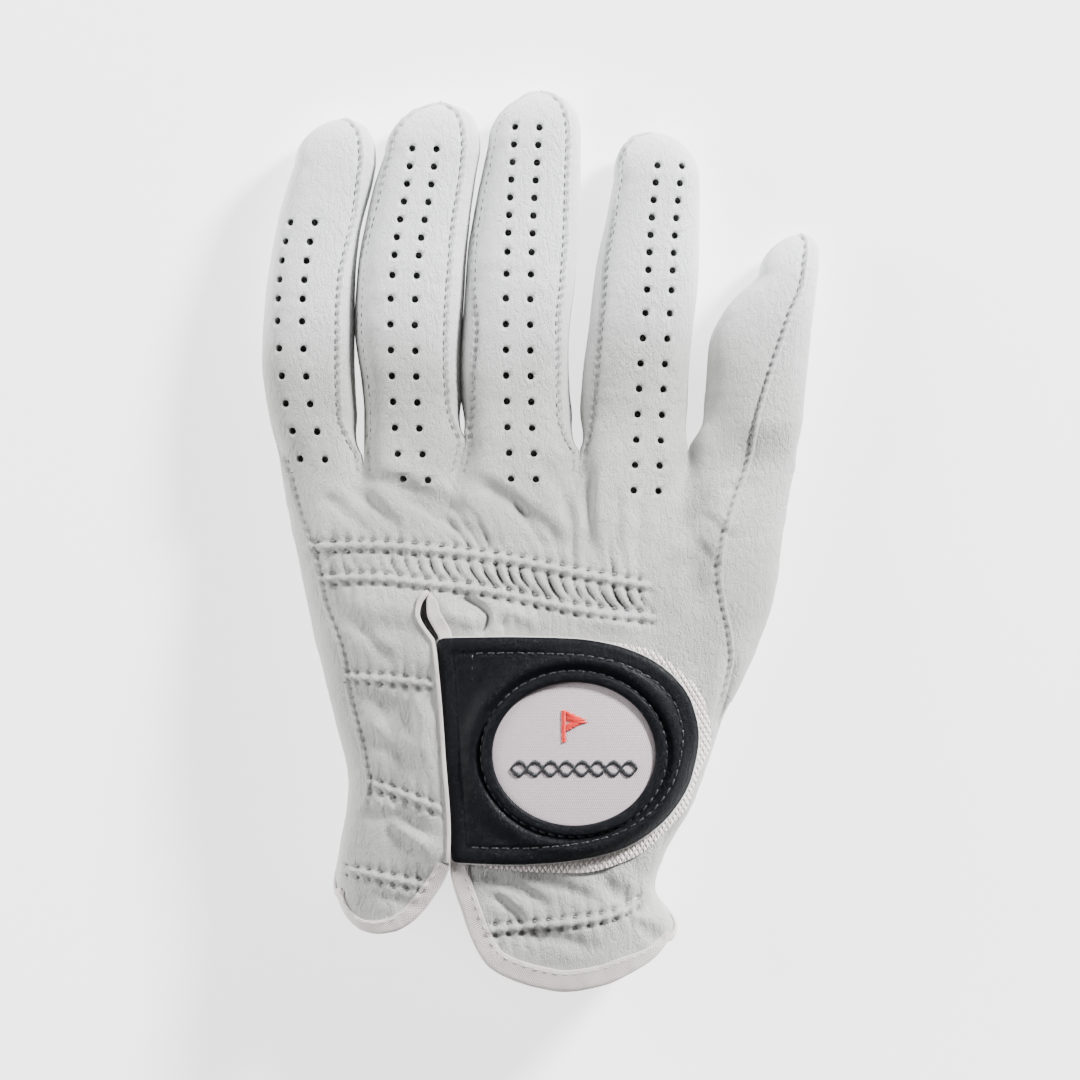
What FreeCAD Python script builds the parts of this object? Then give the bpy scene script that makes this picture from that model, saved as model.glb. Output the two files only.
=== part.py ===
"""Golf glove for the left hand, lying palm down.

Frame: millimetres, +Z out of the back of the hand, +Y towards the fingertips, +X towards the thumb.
The origin is on the flat underside of the palm, in the middle of the palm.

The skin of the glove is one set of hollow forms: the hand, four fingers and the thumb, each a chain of
cross sections at stations along Y.  Every leather panel is cut from that skin, and everything sewn to the
back of the hand is a layer between two offsets of the same hand form, so all layers lie flush.
"""
import FreeCAD, Part
import math
import os
from FreeCAD import Vector

# ---------------------------------------------------------------- driving dimensions, mm
GLOVE_LENGTH = 207.0        # cuff hem to middle fingertip
GLOVE_WIDTH = 128.0         # pinkie side to thumb side
HAND_DEPTH = 29.0           # floor to the back of the hand
FINGER_DEPTH = 17.0         # floor to the back of a finger
LEATHER = 0.6               # all leather panels
HAND_CROWN = 200.0          # arch of the back of the hand
FINGER_CROWN = 24.0
HAND_CORNERS = (0.448 * HAND_DEPTH, 0.207 * HAND_DEPTH)   # rounding radii on the back and on the palm
FINGER_CORNERS = (7.0, 5.0)

BINDING_WIDTH = 5.0
BINDING_THICKNESS = 0.5
ELASTIC_WIDTH = 3.0
ELASTIC_THICKNESS = 0.8
THREAD_WIDTH = 0.5
THREAD_HEIGHT = 0.3
STITCH_ROW_GAP = 2.8        # between the two rows that hold an elastic

TAB_LENGTH = 58.0           # hinge line to the round end
TAB_WIDTH = 51.0
TAB_CENTRE_Y = -25.5
TAB_HINGE_X = -12.0
TAB_LEATHER = 0.8
TAB_LINING = 0.5
TAB_EDGE_STITCH_INSET = 3.2
TAB_ROOT_LENGTH = 12.0      # sewn under the flap
TAB_ROOT_CLEARANCE = 0.3    # top of the root's riser under the tab
HOOK_THICKNESS = 0.8
HOOK_INSET = 5.0
HOOK_LENGTH = 34.0
LOOP_THICKNESS = 1.0
LOOP_MARGIN = 3.4           # loop pad shows this much round the tab's end
ROUNDEL_X = 17.3
ROUNDEL_LONG = 18.7         # half axes of the woven roundel
ROUNDEL_SHORT = 16.7
ROUNDEL_THICKNESS = 0.6
ROUNDEL_RIM = 2.6           # padded rim round the roundel
RIM_HEIGHT = 0.8
EMBLEM_THICKNESS = 0.3
EMBLEM_RADIUS = 6.0

HINGE_GAP = 0.4             # between two skins that bend apart at a joint
TAB_LIFT = 0.3              # hook pad over loop pad
SEAM_PALM = 4.2             # height of the palm seam of a finger
SEAM_BACK = 10.8            # height of the back seam of a finger and of the hand
HINGE_SHARE_Z = 0.5         # joint height as a share of the finger's depth
WEDGE_SPARE_DEG = 2.0

# ---------------------------------------------------------------- outline, drawn for a 207 x 128 glove
LENGTH_SCALE = GLOVE_LENGTH / 207.0
WIDTH_SCALE = GLOVE_WIDTH / 128.0
UNDERCUT = 0.5              # the forms reach this far below the floor, which trims them flat

# station: y, left x, right x, height share, underside share
HAND = [
    (-84, -38.5, 41.5, 0.96, 0), (-66, -38.0, 40.5, 0.97, 0), (-56, -37.7, 35.6, 1.00, 0),
    (-46, -36.6, 40.0, 1.00, 0), (-32, -35.0, 46.7, 1.00, 0), (-18, -38.2, 51.3, 1.00, 0),
    (-4.6, -41.6, 54.0, 1.00, 0), (9, -44.6, 52.0, 0.98, 0), (23, -47.6, 47.0, 0.88, 0),
    (40, -50.6, 44.6, 0.74, 0),
]
PINKIE = [
    (30, -47.0, -32.5, 1.08, 0), (40, -49.8, -31.6, 1.08, 0), (46, -51.9, -31.8, 1.06, 0),
    (54, -53.6, -32.5, 1.02, 0), (64.4, -55.0, -33.6, 1.00, 0), (78.2, -54.0, -33.6, 0.97, 0),
    (92, -52.2, -32.6, 0.94, 0), (105.8, -48.8, -29.8, 0.90, 0.03), (112.7, -45.8, -28.9, 0.84, 0.10),
    (116.5, -43.0, -29.8, 0.76, 0.20), (119.6, -39.4, -32.2, 0.64, 0.34),
]
RING = [
    (30, -29.5, -9.5, 1.08, 0), (40, -30.4, -8.4, 1.12, 0), (54, -31.2, -8.9, 1.04, 0),
    (64.4, -32.4, -8.9, 1.00, 0), (78.2, -32.4, -8.4, 0.98, 0), (92, -31.2, -7.8, 0.95, 0),
    (105.8, -28.3, -6.1, 0.92, 0.03), (112.7, -26.0, -4.8, 0.88, 0.08), (119.6, -21.4, -5.3, 0.76, 0.20),
    (123.2, -16.3, -8.9, 0.64, 0.34),
]
MIDDLE = [
    (30, -5.5, 16.0, 1.08, 0), (40, -6.9, 16.4, 1.12, 0), (54, -7.7, 16.2, 1.06, 0),
    (64.4, -7.8, 16.4, 1.02, 0), (78.2, -7.3, 17.3, 1.00, 0), (92, -6.6, 18.6, 0.97, 0),
    (105.8, -4.9, 18.2, 0.93, 0.03), (112.7, -3.7, 18.4, 0.90, 0.06), (119.6, -0.2, 18.2, 0.82, 0.14),
    (123.6, 3.6, 16.6, 0.72, 0.25), (126.2, 7.4, 14.0, 0.64, 0.34),
]
INDEX = [
    (30, 19.0, 42.0, 1.08, 0), (40, 18.0, 43.0, 1.12, 0), (54, 18.9, 43.2, 1.04, 0),
    (64.4, 19.3, 44.2, 1.00, 0), (78.2, 21.2, 45.5, 0.98, 0), (92, 23.5, 46.0, 0.95, 0),
    (102.4, 25.1, 46.2, 0.92, 0.03), (109.3, 26.4, 44.6, 0.86, 0.08), (113.4, 28.2, 41.8, 0.76, 0.20),
    (116.4, 31.2, 37.8, 0.64, 0.34),
]
THUMB = [
    (-18, 30.0, 48.0, 1.00, 0), (-4.6, 34.0, 57.4, 1.10, 0), (9, 37.0, 62.8, 1.14, 0),
    (23, 39.0, 65.3, 1.14, 0), (36, 40.0, 68.0, 1.12, 0), (43.7, 45.0, 69.6, 1.08, 0),
    (50.6, 46.9, 70.4, 1.04, 0), (64.4, 47.8, 71.0, 1.00, 0), (71.3, 49.6, 71.8, 0.96, 0),
    (78.2, 53.8, 72.7, 0.92, 0), (85, 59.8, 73.0, 0.86, 0.08), (90, 64.6, 72.9, 0.76, 0.20),
    (93, 67.4, 71.8, 0.64, 0.34),
]
THUMB_SEAM = [                # plan line where the thumb's two leathers meet, wrist to tip
    (54.0, -30), (54.4, -11), (54.7, -2), (52.9, 8), (51.1, 17), (51.5, 23), (54.5, 32), (58, 42.6),
    (62.1, 57.5), (65.6, 69), (68.4, 80.5), (69.8, 96),
]

# digit: stations, knuckle y, middle joint y, knuckle bend, middle bend, what covers its left and right side
DIGITS = {
    "pinkie": (PINKIE, 50.5, 77.0, 80, 90, "palm", "gusset"),
    "ring": (RING, 54.5, 82.0, 80, 90, "gusset", "gusset"),
    "middle": (MIDDLE, 54.5, 83.0, 80, 90, "gusset", "gusset"),
    "index": (INDEX, 51.5, 80.0, 80, 90, "gusset", "back"),
}
THUMB_JOINTS = (49.0, 67.0, 50, 70)

# elastics: plan line of each, sewn inside the back
ELASTICS = {
    "knuckle_elastic_upper": [(-44.2, 21.6), (-23, 20.9), (0, 17.7), (16.1, 15.4), (34, 12.7)],
    "knuckle_elastic_lower": [(-41.9, 14.5), (-23, 13.1), (-6.9, 11), (13.8, 7.8), (35.7, 5.3)],
    "flap_elastic_upper": [(-35.4, -7.8), (-26, -8.2), (-16.4, -9.2)],
    "flap_elastic_middle": [(-31.5, -33.8), (-23, -35.6), (-15.4, -38)],
    "flap_elastic_lower": [(-33.5, -52.4), (-26, -53.4), (-20.5, -54.6)],
    "cuff_elastic": [(-1.8, -64.9), (13.8, -63.3), (25.3, -59.8), (31.5, -55.5)],
}
FLAP_ELASTICS = ("flap_elastic_upper", "flap_elastic_middle", "flap_elastic_lower")

TEARDROP_CENTRE = (-15.2, 5.4)   # finger-side end of the wrist slit
TEARDROP_LONG = 4.6
TEARDROP_SHORT = 1.9
SLIT_WIDTH = 1.2
SLIT_BINDING_WIDTH = 2.6
TEARDROP_TILT_DEG = 108.0
NOTCH_Y = -51.5                  # where the slit opens into the cuff's two lobes

FAR = 200.0                      # cutting tools reach this far past the glove


def x_of(x):
    """Plan x in the glove's own width."""
    return x * WIDTH_SCALE


def y_of(y):
    """Plan y in the glove's own length."""
    return y * LENGTH_SCALE


def plan_points(points):
    """Plan points scaled to the glove's own size."""
    return [(x_of(x), y_of(y)) for x, y in points]


# ---------------------------------------------------------------- forms
def section(y, left, right, bottom, top, crown, corner_top, corner_bottom):
    """Closed cross section in the plane at y: flat under, round corners, a crowned back.

    The crown's circle and the upper corner circles touch from inside, so an offset keeps them tangent.
    """
    half = (right - left) / 2
    middle = (right + left) / 2
    depth = top - bottom
    corner_top = min(corner_top, 0.8 * half, 0.48 * depth)
    corner_bottom = min(corner_bottom, 0.8 * half, 0.30 * depth)
    reach = half - corner_top
    crown_z = top - crown
    corner_z = crown_z + math.sqrt((crown - corner_top) ** 2 - reach ** 2)
    tilt = math.atan2(reach, corner_z - crown_z)
    elbow = (tilt + math.pi / 2) / 2

    def corner(sign, angle):
        x = middle + sign * (reach + corner_top * math.sin(angle))
        return Vector(x, y, corner_z + corner_top * math.cos(angle))

    def foot(sign, angle):
        x = middle + sign * (half - corner_bottom + corner_bottom * math.cos(angle))
        return Vector(x, y, bottom + corner_bottom - corner_bottom * math.sin(angle))

    quarter, eighth = math.pi / 2, math.pi / 4
    edges = [
        Part.LineSegment(foot(-1, quarter), foot(1, quarter)),
        Part.Arc(foot(1, quarter), foot(1, eighth), foot(1, 0)),
        Part.LineSegment(foot(1, 0), corner(1, quarter)),
        Part.Arc(corner(1, quarter), corner(1, elbow), corner(1, tilt)),
        Part.Arc(corner(1, tilt), Vector(middle, y, top), corner(-1, tilt)),
        Part.Arc(corner(-1, tilt), corner(-1, elbow), corner(-1, quarter)),
        Part.LineSegment(corner(-1, quarter), foot(-1, 0)),
        Part.Arc(foot(-1, 0), foot(-1, eighth), foot(-1, quarter)),
    ]
    return Part.Wire([edge.toShape() for edge in edges])


def form(stations, depth, crown, corners, grow, end_stations):
    """Solid through all stations, grown by an offset and trimmed flat at the floor.

    The last few stations, which close the end, move with the offset.  The first one is an open mouth, so
    the space inside runs out through it.
    """
    first_of_end = len(stations) - end_stations
    wires = []
    for number, (y, left, right, top, under) in enumerate(stations):
        shift = grow if number >= first_of_end else 0
        if number == 0 and grow < 0:
            shift = -1.0
        wires.append(section(
            y_of(y) + shift, x_of(left) - grow, x_of(right) + grow, under * depth - UNDERCUT - grow,
            top * depth + grow, crown + grow, corners[0] + grow, corners[1] + grow))
    solid = Part.makeLoft(wires, True, True)
    return solid.common(slab(max(0.0, -grow), FAR))


def hand_form(grow):
    """The hand without its digits."""
    return form(HAND, HAND_DEPTH, HAND_CROWN, HAND_CORNERS, grow, 1)


def digit_form(stations, grow):
    """One finger or the thumb."""
    return form(stations, FINGER_DEPTH, FINGER_CROWN, FINGER_CORNERS, grow, 4)


# ---------------------------------------------------------------- cutting tools
def slab(low, high):
    """Everything between two heights."""
    return Part.makeBox(2 * FAR, 2 * FAR, high - low, Vector(-FAR, -FAR, low))


def prism(points):
    """Vertical prism over a plan polygon."""
    corners = [Vector(x, y, -FAR) for x, y in points]
    face = Part.Face(Part.makePolygon(corners + [corners[0]]))
    return face.extrude(Vector(0, 0, 2 * FAR))


def upright(wire):
    """Vertical prism over a closed plan wire."""
    base = wire.copy()
    base.translate(Vector(0, 0, -FAR))
    return Part.Face(base).extrude(Vector(0, 0, 2 * FAR))


def plan_box(left, right, span):
    """Vertical prism over a plan rectangle."""
    return prism([(left, span[0]), (right, span[0]), (right, span[1]), (left, span[1])])


def side_prism(line, sign):
    """Everything to one side of a plan line that runs along Y: sign -1 is left, 1 is right."""
    first, last = line[0], line[-1]
    outer = sign * FAR
    points = [(outer, -FAR), (first[0], -FAR)] + list(line) + [(last[0], FAR), (outer, FAR)]
    return prism(points)


def bend_side(hinge_y, bend, sign):
    """Everything on one side of a bending joint: sign -1 is the wrist side, 1 the fingertip side.

    Above the joint's axis the two sides are a gap apart.  Below it each leans back by half the bend, so
    the skins clear each other at the end of the range.
    """
    axis_z = HINGE_SHARE_Z * FINGER_DEPTH
    lean = math.tan(math.radians(bend / 2 + WEDGE_SPARE_DEG))
    face_y = y_of(hinge_y) + sign * HINGE_GAP / 2
    depth_below = axis_z + 5
    corners = [
        Vector(-FAR, face_y, FAR), Vector(-FAR, face_y, axis_z),
        Vector(-FAR, face_y + sign * lean * depth_below, axis_z - depth_below),
        Vector(-FAR, sign * FAR, axis_z - depth_below), Vector(-FAR, sign * FAR, FAR),
    ]
    face = Part.Face(Part.makePolygon(corners + [corners[0]]))
    return face.extrude(Vector(2 * FAR, 0, 0))


def ribbon(points, width):
    """Plan prism along a line of points, of one width with square ends."""
    left, right = [], []
    for number, (x, y) in enumerate(points):
        before = points[max(number - 1, 0)]
        after = points[min(number + 1, len(points) - 1)]
        run = math.hypot(after[0] - before[0], after[1] - before[1])
        side_x = -(after[1] - before[1]) / run * width / 2
        side_y = (after[0] - before[0]) / run * width / 2
        left.append((x + side_x, y + side_y))
        right.append((x - side_x, y - side_y))
    return prism(left + right[::-1])


def shifted(points, amount):
    """A line of plan points moved sideways."""
    moved = []
    for number, (x, y) in enumerate(points):
        before = points[max(number - 1, 0)]
        after = points[min(number + 1, len(points) - 1)]
        run = math.hypot(after[0] - before[0], after[1] - before[1])
        moved.append((x - (after[1] - before[1]) / run * amount, y + (after[0] - before[0]) / run * amount))
    return moved


def one_solid(shape):
    """The solids of a boolean result, without loose faces."""
    solids = [s for s in shape.Solids if s.Volume > 0.05]
    return solids[0] if len(solids) == 1 else Part.makeCompound(solids)


def save(name, shape):
    """Writes one node."""
    result = one_solid(shape)
    if not result.Solids or not result.isValid():
        raise ValueError(name + " is empty or not valid")
    result.exportStep("parts/" + name + ".step")
    print(name, len(result.Solids), round(result.Volume, 1))


# ---------------------------------------------------------------- digits
def centre_line(stations):
    """Plan line down the middle of a digit."""
    return [(x_of((left + right) / 2), y_of(y)) for y, left, right, _, _ in stations]


def split_digit(name, piece, shell, stations, left_cover, right_cover):
    """Cuts one length of finger skin into its back, palm and side strips."""
    line = centre_line(stations)
    band = slab(SEAM_PALM, SEAM_BACK)
    covers = {"back": slab(SEAM_BACK, FAR), "palm": slab(-FAR, SEAM_PALM), "gusset": None}
    for sign, cover in ((-1, left_cover), (1, right_cover)):
        strip = band.common(side_prism(line, sign))
        if cover == "gusset" and covers["gusset"] is not None:
            covers["gusset"] = Part.makeCompound([covers["gusset"], strip])
        elif cover == "gusset":
            covers["gusset"] = strip
        else:
            covers[cover] = covers[cover].fuse(strip).removeSplitter()
    labels = {"back": "back", "palm": "palm", "gusset": "fourchettes"}
    for cover, region in covers.items():
        parts = [shell.common(solid) for solid in region.Solids]
        save("_".join((name, piece, labels[cover])), Part.makeCompound([s for p in parts for s in p.Solids]))


def make_fingers():
    """Saves the bending lengths of the four fingers."""
    for name, (stations, knuckle, middle, knuckle_bend, middle_bend, left, right) in DIGITS.items():
        shell = digit_form(stations, 0).cut(digit_form(stations, -LEATHER))
        base = shell.common(bend_side(knuckle, knuckle_bend, 1)).common(bend_side(middle, middle_bend, -1))
        end = shell.common(bend_side(middle, middle_bend, 1))
        split_digit(name, "base", base, stations, left, right)
        split_digit(name, "end", end, stations, left, right)


def make_thumb():
    """Saves the bending lengths of the thumb, each in its inner and outer leather."""
    knuckle, middle, knuckle_bend, middle_bend = THUMB_JOINTS
    shell = digit_form(THUMB, 0).cut(digit_form(THUMB, -LEATHER))
    base = shell.common(bend_side(knuckle, knuckle_bend, 1)).common(bend_side(middle, middle_bend, -1))
    end = shell.common(bend_side(middle, middle_bend, 1))
    line = plan_points(THUMB_SEAM)
    for piece, length in (("base", base), ("end", end)):
        save("thumb_" + piece + "_inner", length.common(side_prism(line, -1)))
        save("thumb_" + piece + "_outer", length.common(side_prism(line, 1)))


# ---------------------------------------------------------------- hand
def hand_with_stubs(grow):
    """The hand form with the first length of every digit."""
    solid = hand_form(grow)
    for stations, knuckle, _, bend, _, _, _ in DIGITS.values():
        solid = solid.fuse(digit_form(stations, grow).common(bend_side(knuckle, bend, -1)))
    thumb = digit_form(THUMB, grow).common(bend_side(THUMB_JOINTS[0], THUMB_JOINTS[2], -1))
    return solid.fuse(thumb)


def arc_wire(start, arcs):
    """Closed plan wire: arcs given as (through, end), closed by a straight line."""
    edges = []
    point = Vector(x_of(start[0]), y_of(start[1]), 0)
    first = point
    for through, end in arcs:
        end_point = Vector(x_of(end[0]), y_of(end[1]), 0)
        if through is None:
            edges.append(Part.LineSegment(point, end_point).toShape())
        else:
            middle = Vector(x_of(through[0]), y_of(through[1]), 0)
            edges.append(Part.Arc(point, middle, end_point).toShape())
        point = end_point
    edges.append(Part.LineSegment(point, first).toShape())
    return Part.Wire(edges)


def pinkie_lobe():
    """Plan of the cuff on the pinkie side of the slit."""
    edge = (TAB_HINGE_X - SLIT_WIDTH) / WIDTH_SCALE
    return arc_wire((edge, NOTCH_Y), [
        ((-15.6, -59.3), (-22.0, -65.7)), ((-31.5, -67.6), (-37.6, -59.6)), (None, (-60, -40)),
        (None, (edge, -40))])


def thumb_lobe():
    """Plan of the cuff on the thumb side of the slit."""
    edge = TAB_HINGE_X / WIDTH_SCALE
    return arc_wire((edge, NOTCH_Y), [
        (None, (-6.0, -70)), ((-3.6, -74.8), (1.0, -77.6)), ((16.5, -80.4), (31.5, -75.6)),
        ((38.0, -71.6), (40.6, -65.6)), (None, (60, -40)), (None, (edge, -40))])


def hem_region():
    """Plan prisms of the two lobes, and of all the back above them."""
    above = prism([(-FAR, y_of(NOTCH_Y) + 1.0), (FAR, y_of(NOTCH_Y) + 1.0), (FAR, FAR), (-FAR, FAR)])
    return upright(pinkie_lobe()).fuse(upright(thumb_lobe())).fuse(above)


def palm_hem(shift):
    """Plan prism of the palm above its arched hem."""
    return upright(arc_wire((-60, -62 + shift), [
        ((0, -49.5 + shift), (60, -66 + shift)), (None, (60, 190)), (None, (-60, 190))]))


def teardrop(grow):
    """Plan prism of the slit's eye, grown."""
    centre = Vector(x_of(TEARDROP_CENTRE[0]), y_of(TEARDROP_CENTRE[1]), 0)
    drop = Part.Ellipse(centre, TEARDROP_LONG + grow, TEARDROP_SHORT + grow).toShape()
    drop.rotate(centre, Vector(0, 0, 1), TEARDROP_TILT_DEG)
    return upright(Part.Wire([drop]))


def slit_line():
    """Plan line down the middle of the wrist slit."""
    middle = TAB_HINGE_X - SLIT_WIDTH / 2
    return plan_points([TEARDROP_CENTRE])[0], (middle, y_of(0)), (middle, y_of(NOTCH_Y))


def layer(low, high):
    """Hand-shaped layer between two offsets."""
    return hand_form(high).cut(hand_form(low))


def make_hand():
    """Saves the panels of the hand, and returns the back panel."""
    skin = hand_with_stubs(0).cut(hand_with_stubs(-LEATHER))
    thumb_line = plan_points(THUMB_SEAM)
    hand_side = skin.common(side_prism(thumb_line, -1))
    upper = hand_side.common(slab(SEAM_BACK, FAR)).common(hem_region())
    save("back_panel", upper.cut(teardrop(0)).cut(ribbon(slit_line(), SLIT_WIDTH)))
    save("palm_panel", hand_side.common(slab(-FAR, SEAM_BACK)).common(palm_hem(0)))
    save("thenar_panel", skin.common(side_prism(thumb_line, 1)))


def slit_tape(grow):
    """Plan prism of the tape round the slit's eye and along its pinkie-side edge, grown."""
    above_tab = prism([(-FAR, y_of(0)), (FAR, y_of(0)), (FAR, FAR), (-FAR, FAR)])
    slit = slit_line()[1:]
    edge = ribbon(slit, SLIT_WIDTH + 2 * (SLIT_BINDING_WIDTH + grow)).common(side_prism(slit, -1))
    return teardrop(BINDING_THICKNESS + 1.0 + grow).common(above_tab).fuse(edge)


def make_bindings():
    """Saves the tape folded over the cuff's edges and round the slit's end."""
    outer, inner = BINDING_THICKNESS, -LEATHER - BINDING_THICKNESS
    sandwich = layer(inner, outer).common(slab(SEAM_BACK, FAR))
    leather = layer(-LEATHER, 0)
    lower = prism([(-FAR, y_of(NOTCH_Y)), (FAR, y_of(NOTCH_Y)), (FAR, -FAR), (-FAR, -FAR)])
    for side, wire in (("pinkie", pinkie_lobe()), ("thumb", thumb_lobe())):
        band = upright(wire.makeOffset2D(BINDING_THICKNESS)).cut(upright(wire.makeOffset2D(-BINDING_WIDTH)))
        tape = sandwich.common(band).common(lower).cut(leather.common(upright(wire)))
        save("cuff_binding_" + side + "_side", tape)
    palm_layer = layer(-LEATHER - BINDING_THICKNESS, -LEATHER).common(slab(-FAR, SEAM_BACK - 1))
    band = palm_hem(0).cut(palm_hem(BINDING_WIDTH))
    save("palm_hem_binding", palm_layer.common(band))
    tape = slit_tape(0).cut(teardrop(0)).cut(ribbon(slit_line(), SLIT_WIDTH))
    save("slit_binding", layer(0, BINDING_THICKNESS).common(tape).cut(upright(pinkie_lobe()).common(lower)))


def make_elastics():
    """Saves the elastics under the back and the thread rows that hold them."""
    inside = layer(-LEATHER - ELASTIC_THICKNESS, -LEATHER)
    outside = layer(0, THREAD_HEIGHT)
    tape = slit_tape(0.3)
    threads = {"knuckle_thread": [], "flap_thread": [], "cuff_thread": []}
    for name, points in ELASTICS.items():
        line = plan_points(points)
        save(name, inside.common(ribbon(line, ELASTIC_WIDTH)).common(slab(SEAM_BACK, FAR)))
        group = "knuckle_thread" if name.startswith("knuckle") else name.split("_")[0] + "_thread"
        for sign in (-1, 1):
            row = ribbon(shifted(line, sign * STITCH_ROW_GAP / 2), THREAD_WIDTH)
            threads[group].append(one_solid(outside.common(row).common(slab(SEAM_BACK, FAR)).cut(tape)))
    for group, rows in threads.items():
        save(group, Part.makeCompound(rows))


# ---------------------------------------------------------------- closure tab
def tab_wire(inset, left):
    """Plan of the tab: straight at the hinge, half an ellipse at the free end."""
    half = TAB_WIDTH / 2 - inset
    bow = TAB_HINGE_X + TAB_LENGTH - TAB_WIDTH / 2
    edges = [
        Part.LineSegment(Vector(left, TAB_CENTRE_Y - half, 0), Vector(bow, TAB_CENTRE_Y - half, 0)),
        Part.Arc(Vector(bow, TAB_CENTRE_Y - half, 0), Vector(bow + half, TAB_CENTRE_Y, 0),
                 Vector(bow, TAB_CENTRE_Y + half, 0)),
        Part.LineSegment(Vector(bow, TAB_CENTRE_Y + half, 0), Vector(left, TAB_CENTRE_Y + half, 0)),
        Part.LineSegment(Vector(left, TAB_CENTRE_Y + half, 0), Vector(left, TAB_CENTRE_Y - half, 0)),
    ]
    return Part.Wire([edge.toShape() for edge in edges])


def roundel_prism(grow):
    """Plan prism of the roundel, grown."""
    centre = Vector(ROUNDEL_X, TAB_CENTRE_Y, 0)
    return upright(Part.Wire([Part.Ellipse(centre, ROUNDEL_LONG + grow, ROUNDEL_SHORT + grow).toShape()]))


def make_closure():
    """Saves the tab, what is sewn to it, and the pad that it closes on."""
    left = TAB_HINGE_X + HINGE_GAP / 2
    bow = TAB_HINGE_X + TAB_LENGTH - TAB_WIDTH / 2
    top_half = slab(SEAM_BACK, FAR)
    hook_low = LOOP_THICKNESS + TAB_LIFT
    lining_low = hook_low + HOOK_THICKNESS
    leather_low = lining_low + TAB_LINING
    leather_top = leather_low + TAB_LEATHER

    loop_left = bow - HOOK_LENGTH / 2
    loop = layer(0, LOOP_THICKNESS).common(upright(tab_wire(-LOOP_MARGIN, loop_left))).common(top_half)
    save("loop_pad", loop)
    hook = layer(hook_low, lining_low).common(upright(tab_wire(HOOK_INSET, bow - HOOK_LENGTH / 2 + 2)))
    save("hook_pad", hook.common(top_half))
    save("tab_lining", layer(lining_low, leather_low).common(upright(tab_wire(0, left))).common(top_half))
    leather = layer(leather_low, leather_top).common(upright(tab_wire(0, left))).common(top_half)
    save("tab_leather", leather.cut(roundel_prism(0)))
    patch_top = leather_low + ROUNDEL_THICKNESS
    save("roundel_patch", layer(leather_low, patch_top).common(roundel_prism(0)))
    centre = Vector(ROUNDEL_X, TAB_CENTRE_Y, 0)
    dot = upright(Part.Wire([Part.Circle(centre, Vector(0, 0, 1), EMBLEM_RADIUS).toShape()]))
    save("roundel_emblem", layer(patch_top, patch_top + EMBLEM_THICKNESS).common(dot))
    rim = roundel_prism(ROUNDEL_RIM).cut(roundel_prism(0))
    save("roundel_rim", layer(leather_top, leather_top + RIM_HEIGHT).common(rim))
    edge_row = upright(tab_wire(TAB_EDGE_STITCH_INSET, left + 2)).cut(
        upright(tab_wire(TAB_EDGE_STITCH_INSET + THREAD_WIDTH, left + 2 + THREAD_WIDTH)))
    ring_row = roundel_prism(ROUNDEL_RIM + 0.8 + THREAD_WIDTH).cut(roundel_prism(ROUNDEL_RIM + 0.8))
    top_layer = layer(leather_top, leather_top + THREAD_HEIGHT)
    row_solid = edge_row.cut(roundel_prism(ROUNDEL_RIM + 0.8 + THREAD_WIDTH + 0.1))
    save("tab_thread", Part.makeCompound([
        one_solid(top_layer.common(row_solid).common(top_half)), one_solid(top_layer.common(ring_row))]))
    root_top = -LEATHER - ELASTIC_THICKNESS
    root_low = root_top - TAB_LEATHER
    span = (TAB_CENTRE_Y - TAB_WIDTH / 2 + 1, TAB_CENTRE_Y + TAB_WIDTH / 2 - 1)
    root_right = left - HINGE_GAP
    plate = layer(root_low, root_top).common(plan_box(root_right - TAB_ROOT_LENGTH, root_right, span))
    riser_top = lining_low - TAB_ROOT_CLEARANCE
    riser = layer(root_low, riser_top).common(plan_box(root_right - TAB_LEATHER, root_right, span))
    save("tab_root", plate.common(top_half).fuse(riser.common(top_half)).removeSplitter())


def main():
    """Builds every node into parts/."""
    os.makedirs("parts", exist_ok=True)
    make_fingers()
    make_thumb()
    make_hand()
    make_bindings()
    make_elastics()
    make_closure()


main()
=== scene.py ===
"""Left-hand golf glove: the sewn leather, tapes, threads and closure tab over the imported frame."""
import logging
import math
from dataclasses import dataclass, field
from enum import Enum
from typing import Callable, Optional, Sequence, Union

import bpy
import numpy as np
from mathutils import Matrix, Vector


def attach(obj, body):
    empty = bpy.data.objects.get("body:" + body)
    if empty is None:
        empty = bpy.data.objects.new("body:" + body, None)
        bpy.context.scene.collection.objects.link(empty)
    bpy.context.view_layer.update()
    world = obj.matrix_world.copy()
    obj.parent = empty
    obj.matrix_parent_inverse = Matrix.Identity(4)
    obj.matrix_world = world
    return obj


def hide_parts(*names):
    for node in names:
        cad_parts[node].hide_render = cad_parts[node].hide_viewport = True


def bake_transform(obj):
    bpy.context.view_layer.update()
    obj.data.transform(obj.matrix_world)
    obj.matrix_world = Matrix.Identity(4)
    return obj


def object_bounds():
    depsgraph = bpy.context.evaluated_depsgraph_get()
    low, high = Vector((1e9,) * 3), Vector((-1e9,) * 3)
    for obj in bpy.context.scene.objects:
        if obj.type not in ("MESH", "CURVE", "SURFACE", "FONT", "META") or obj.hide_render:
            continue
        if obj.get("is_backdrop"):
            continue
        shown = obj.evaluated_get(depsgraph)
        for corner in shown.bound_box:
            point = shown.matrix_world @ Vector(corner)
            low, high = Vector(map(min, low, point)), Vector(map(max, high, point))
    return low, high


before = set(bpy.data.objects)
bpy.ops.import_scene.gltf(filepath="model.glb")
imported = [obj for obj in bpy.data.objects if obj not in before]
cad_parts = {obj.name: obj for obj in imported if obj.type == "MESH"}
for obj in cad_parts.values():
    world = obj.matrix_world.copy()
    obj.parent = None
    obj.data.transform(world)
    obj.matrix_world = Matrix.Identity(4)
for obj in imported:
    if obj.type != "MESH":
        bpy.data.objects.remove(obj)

Array = np.ndarray
Lift = Callable[[Array, Array], Array]
LOG = logging.getLogger("golf_glove")
CAD_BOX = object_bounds()
MM = 0.001
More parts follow.
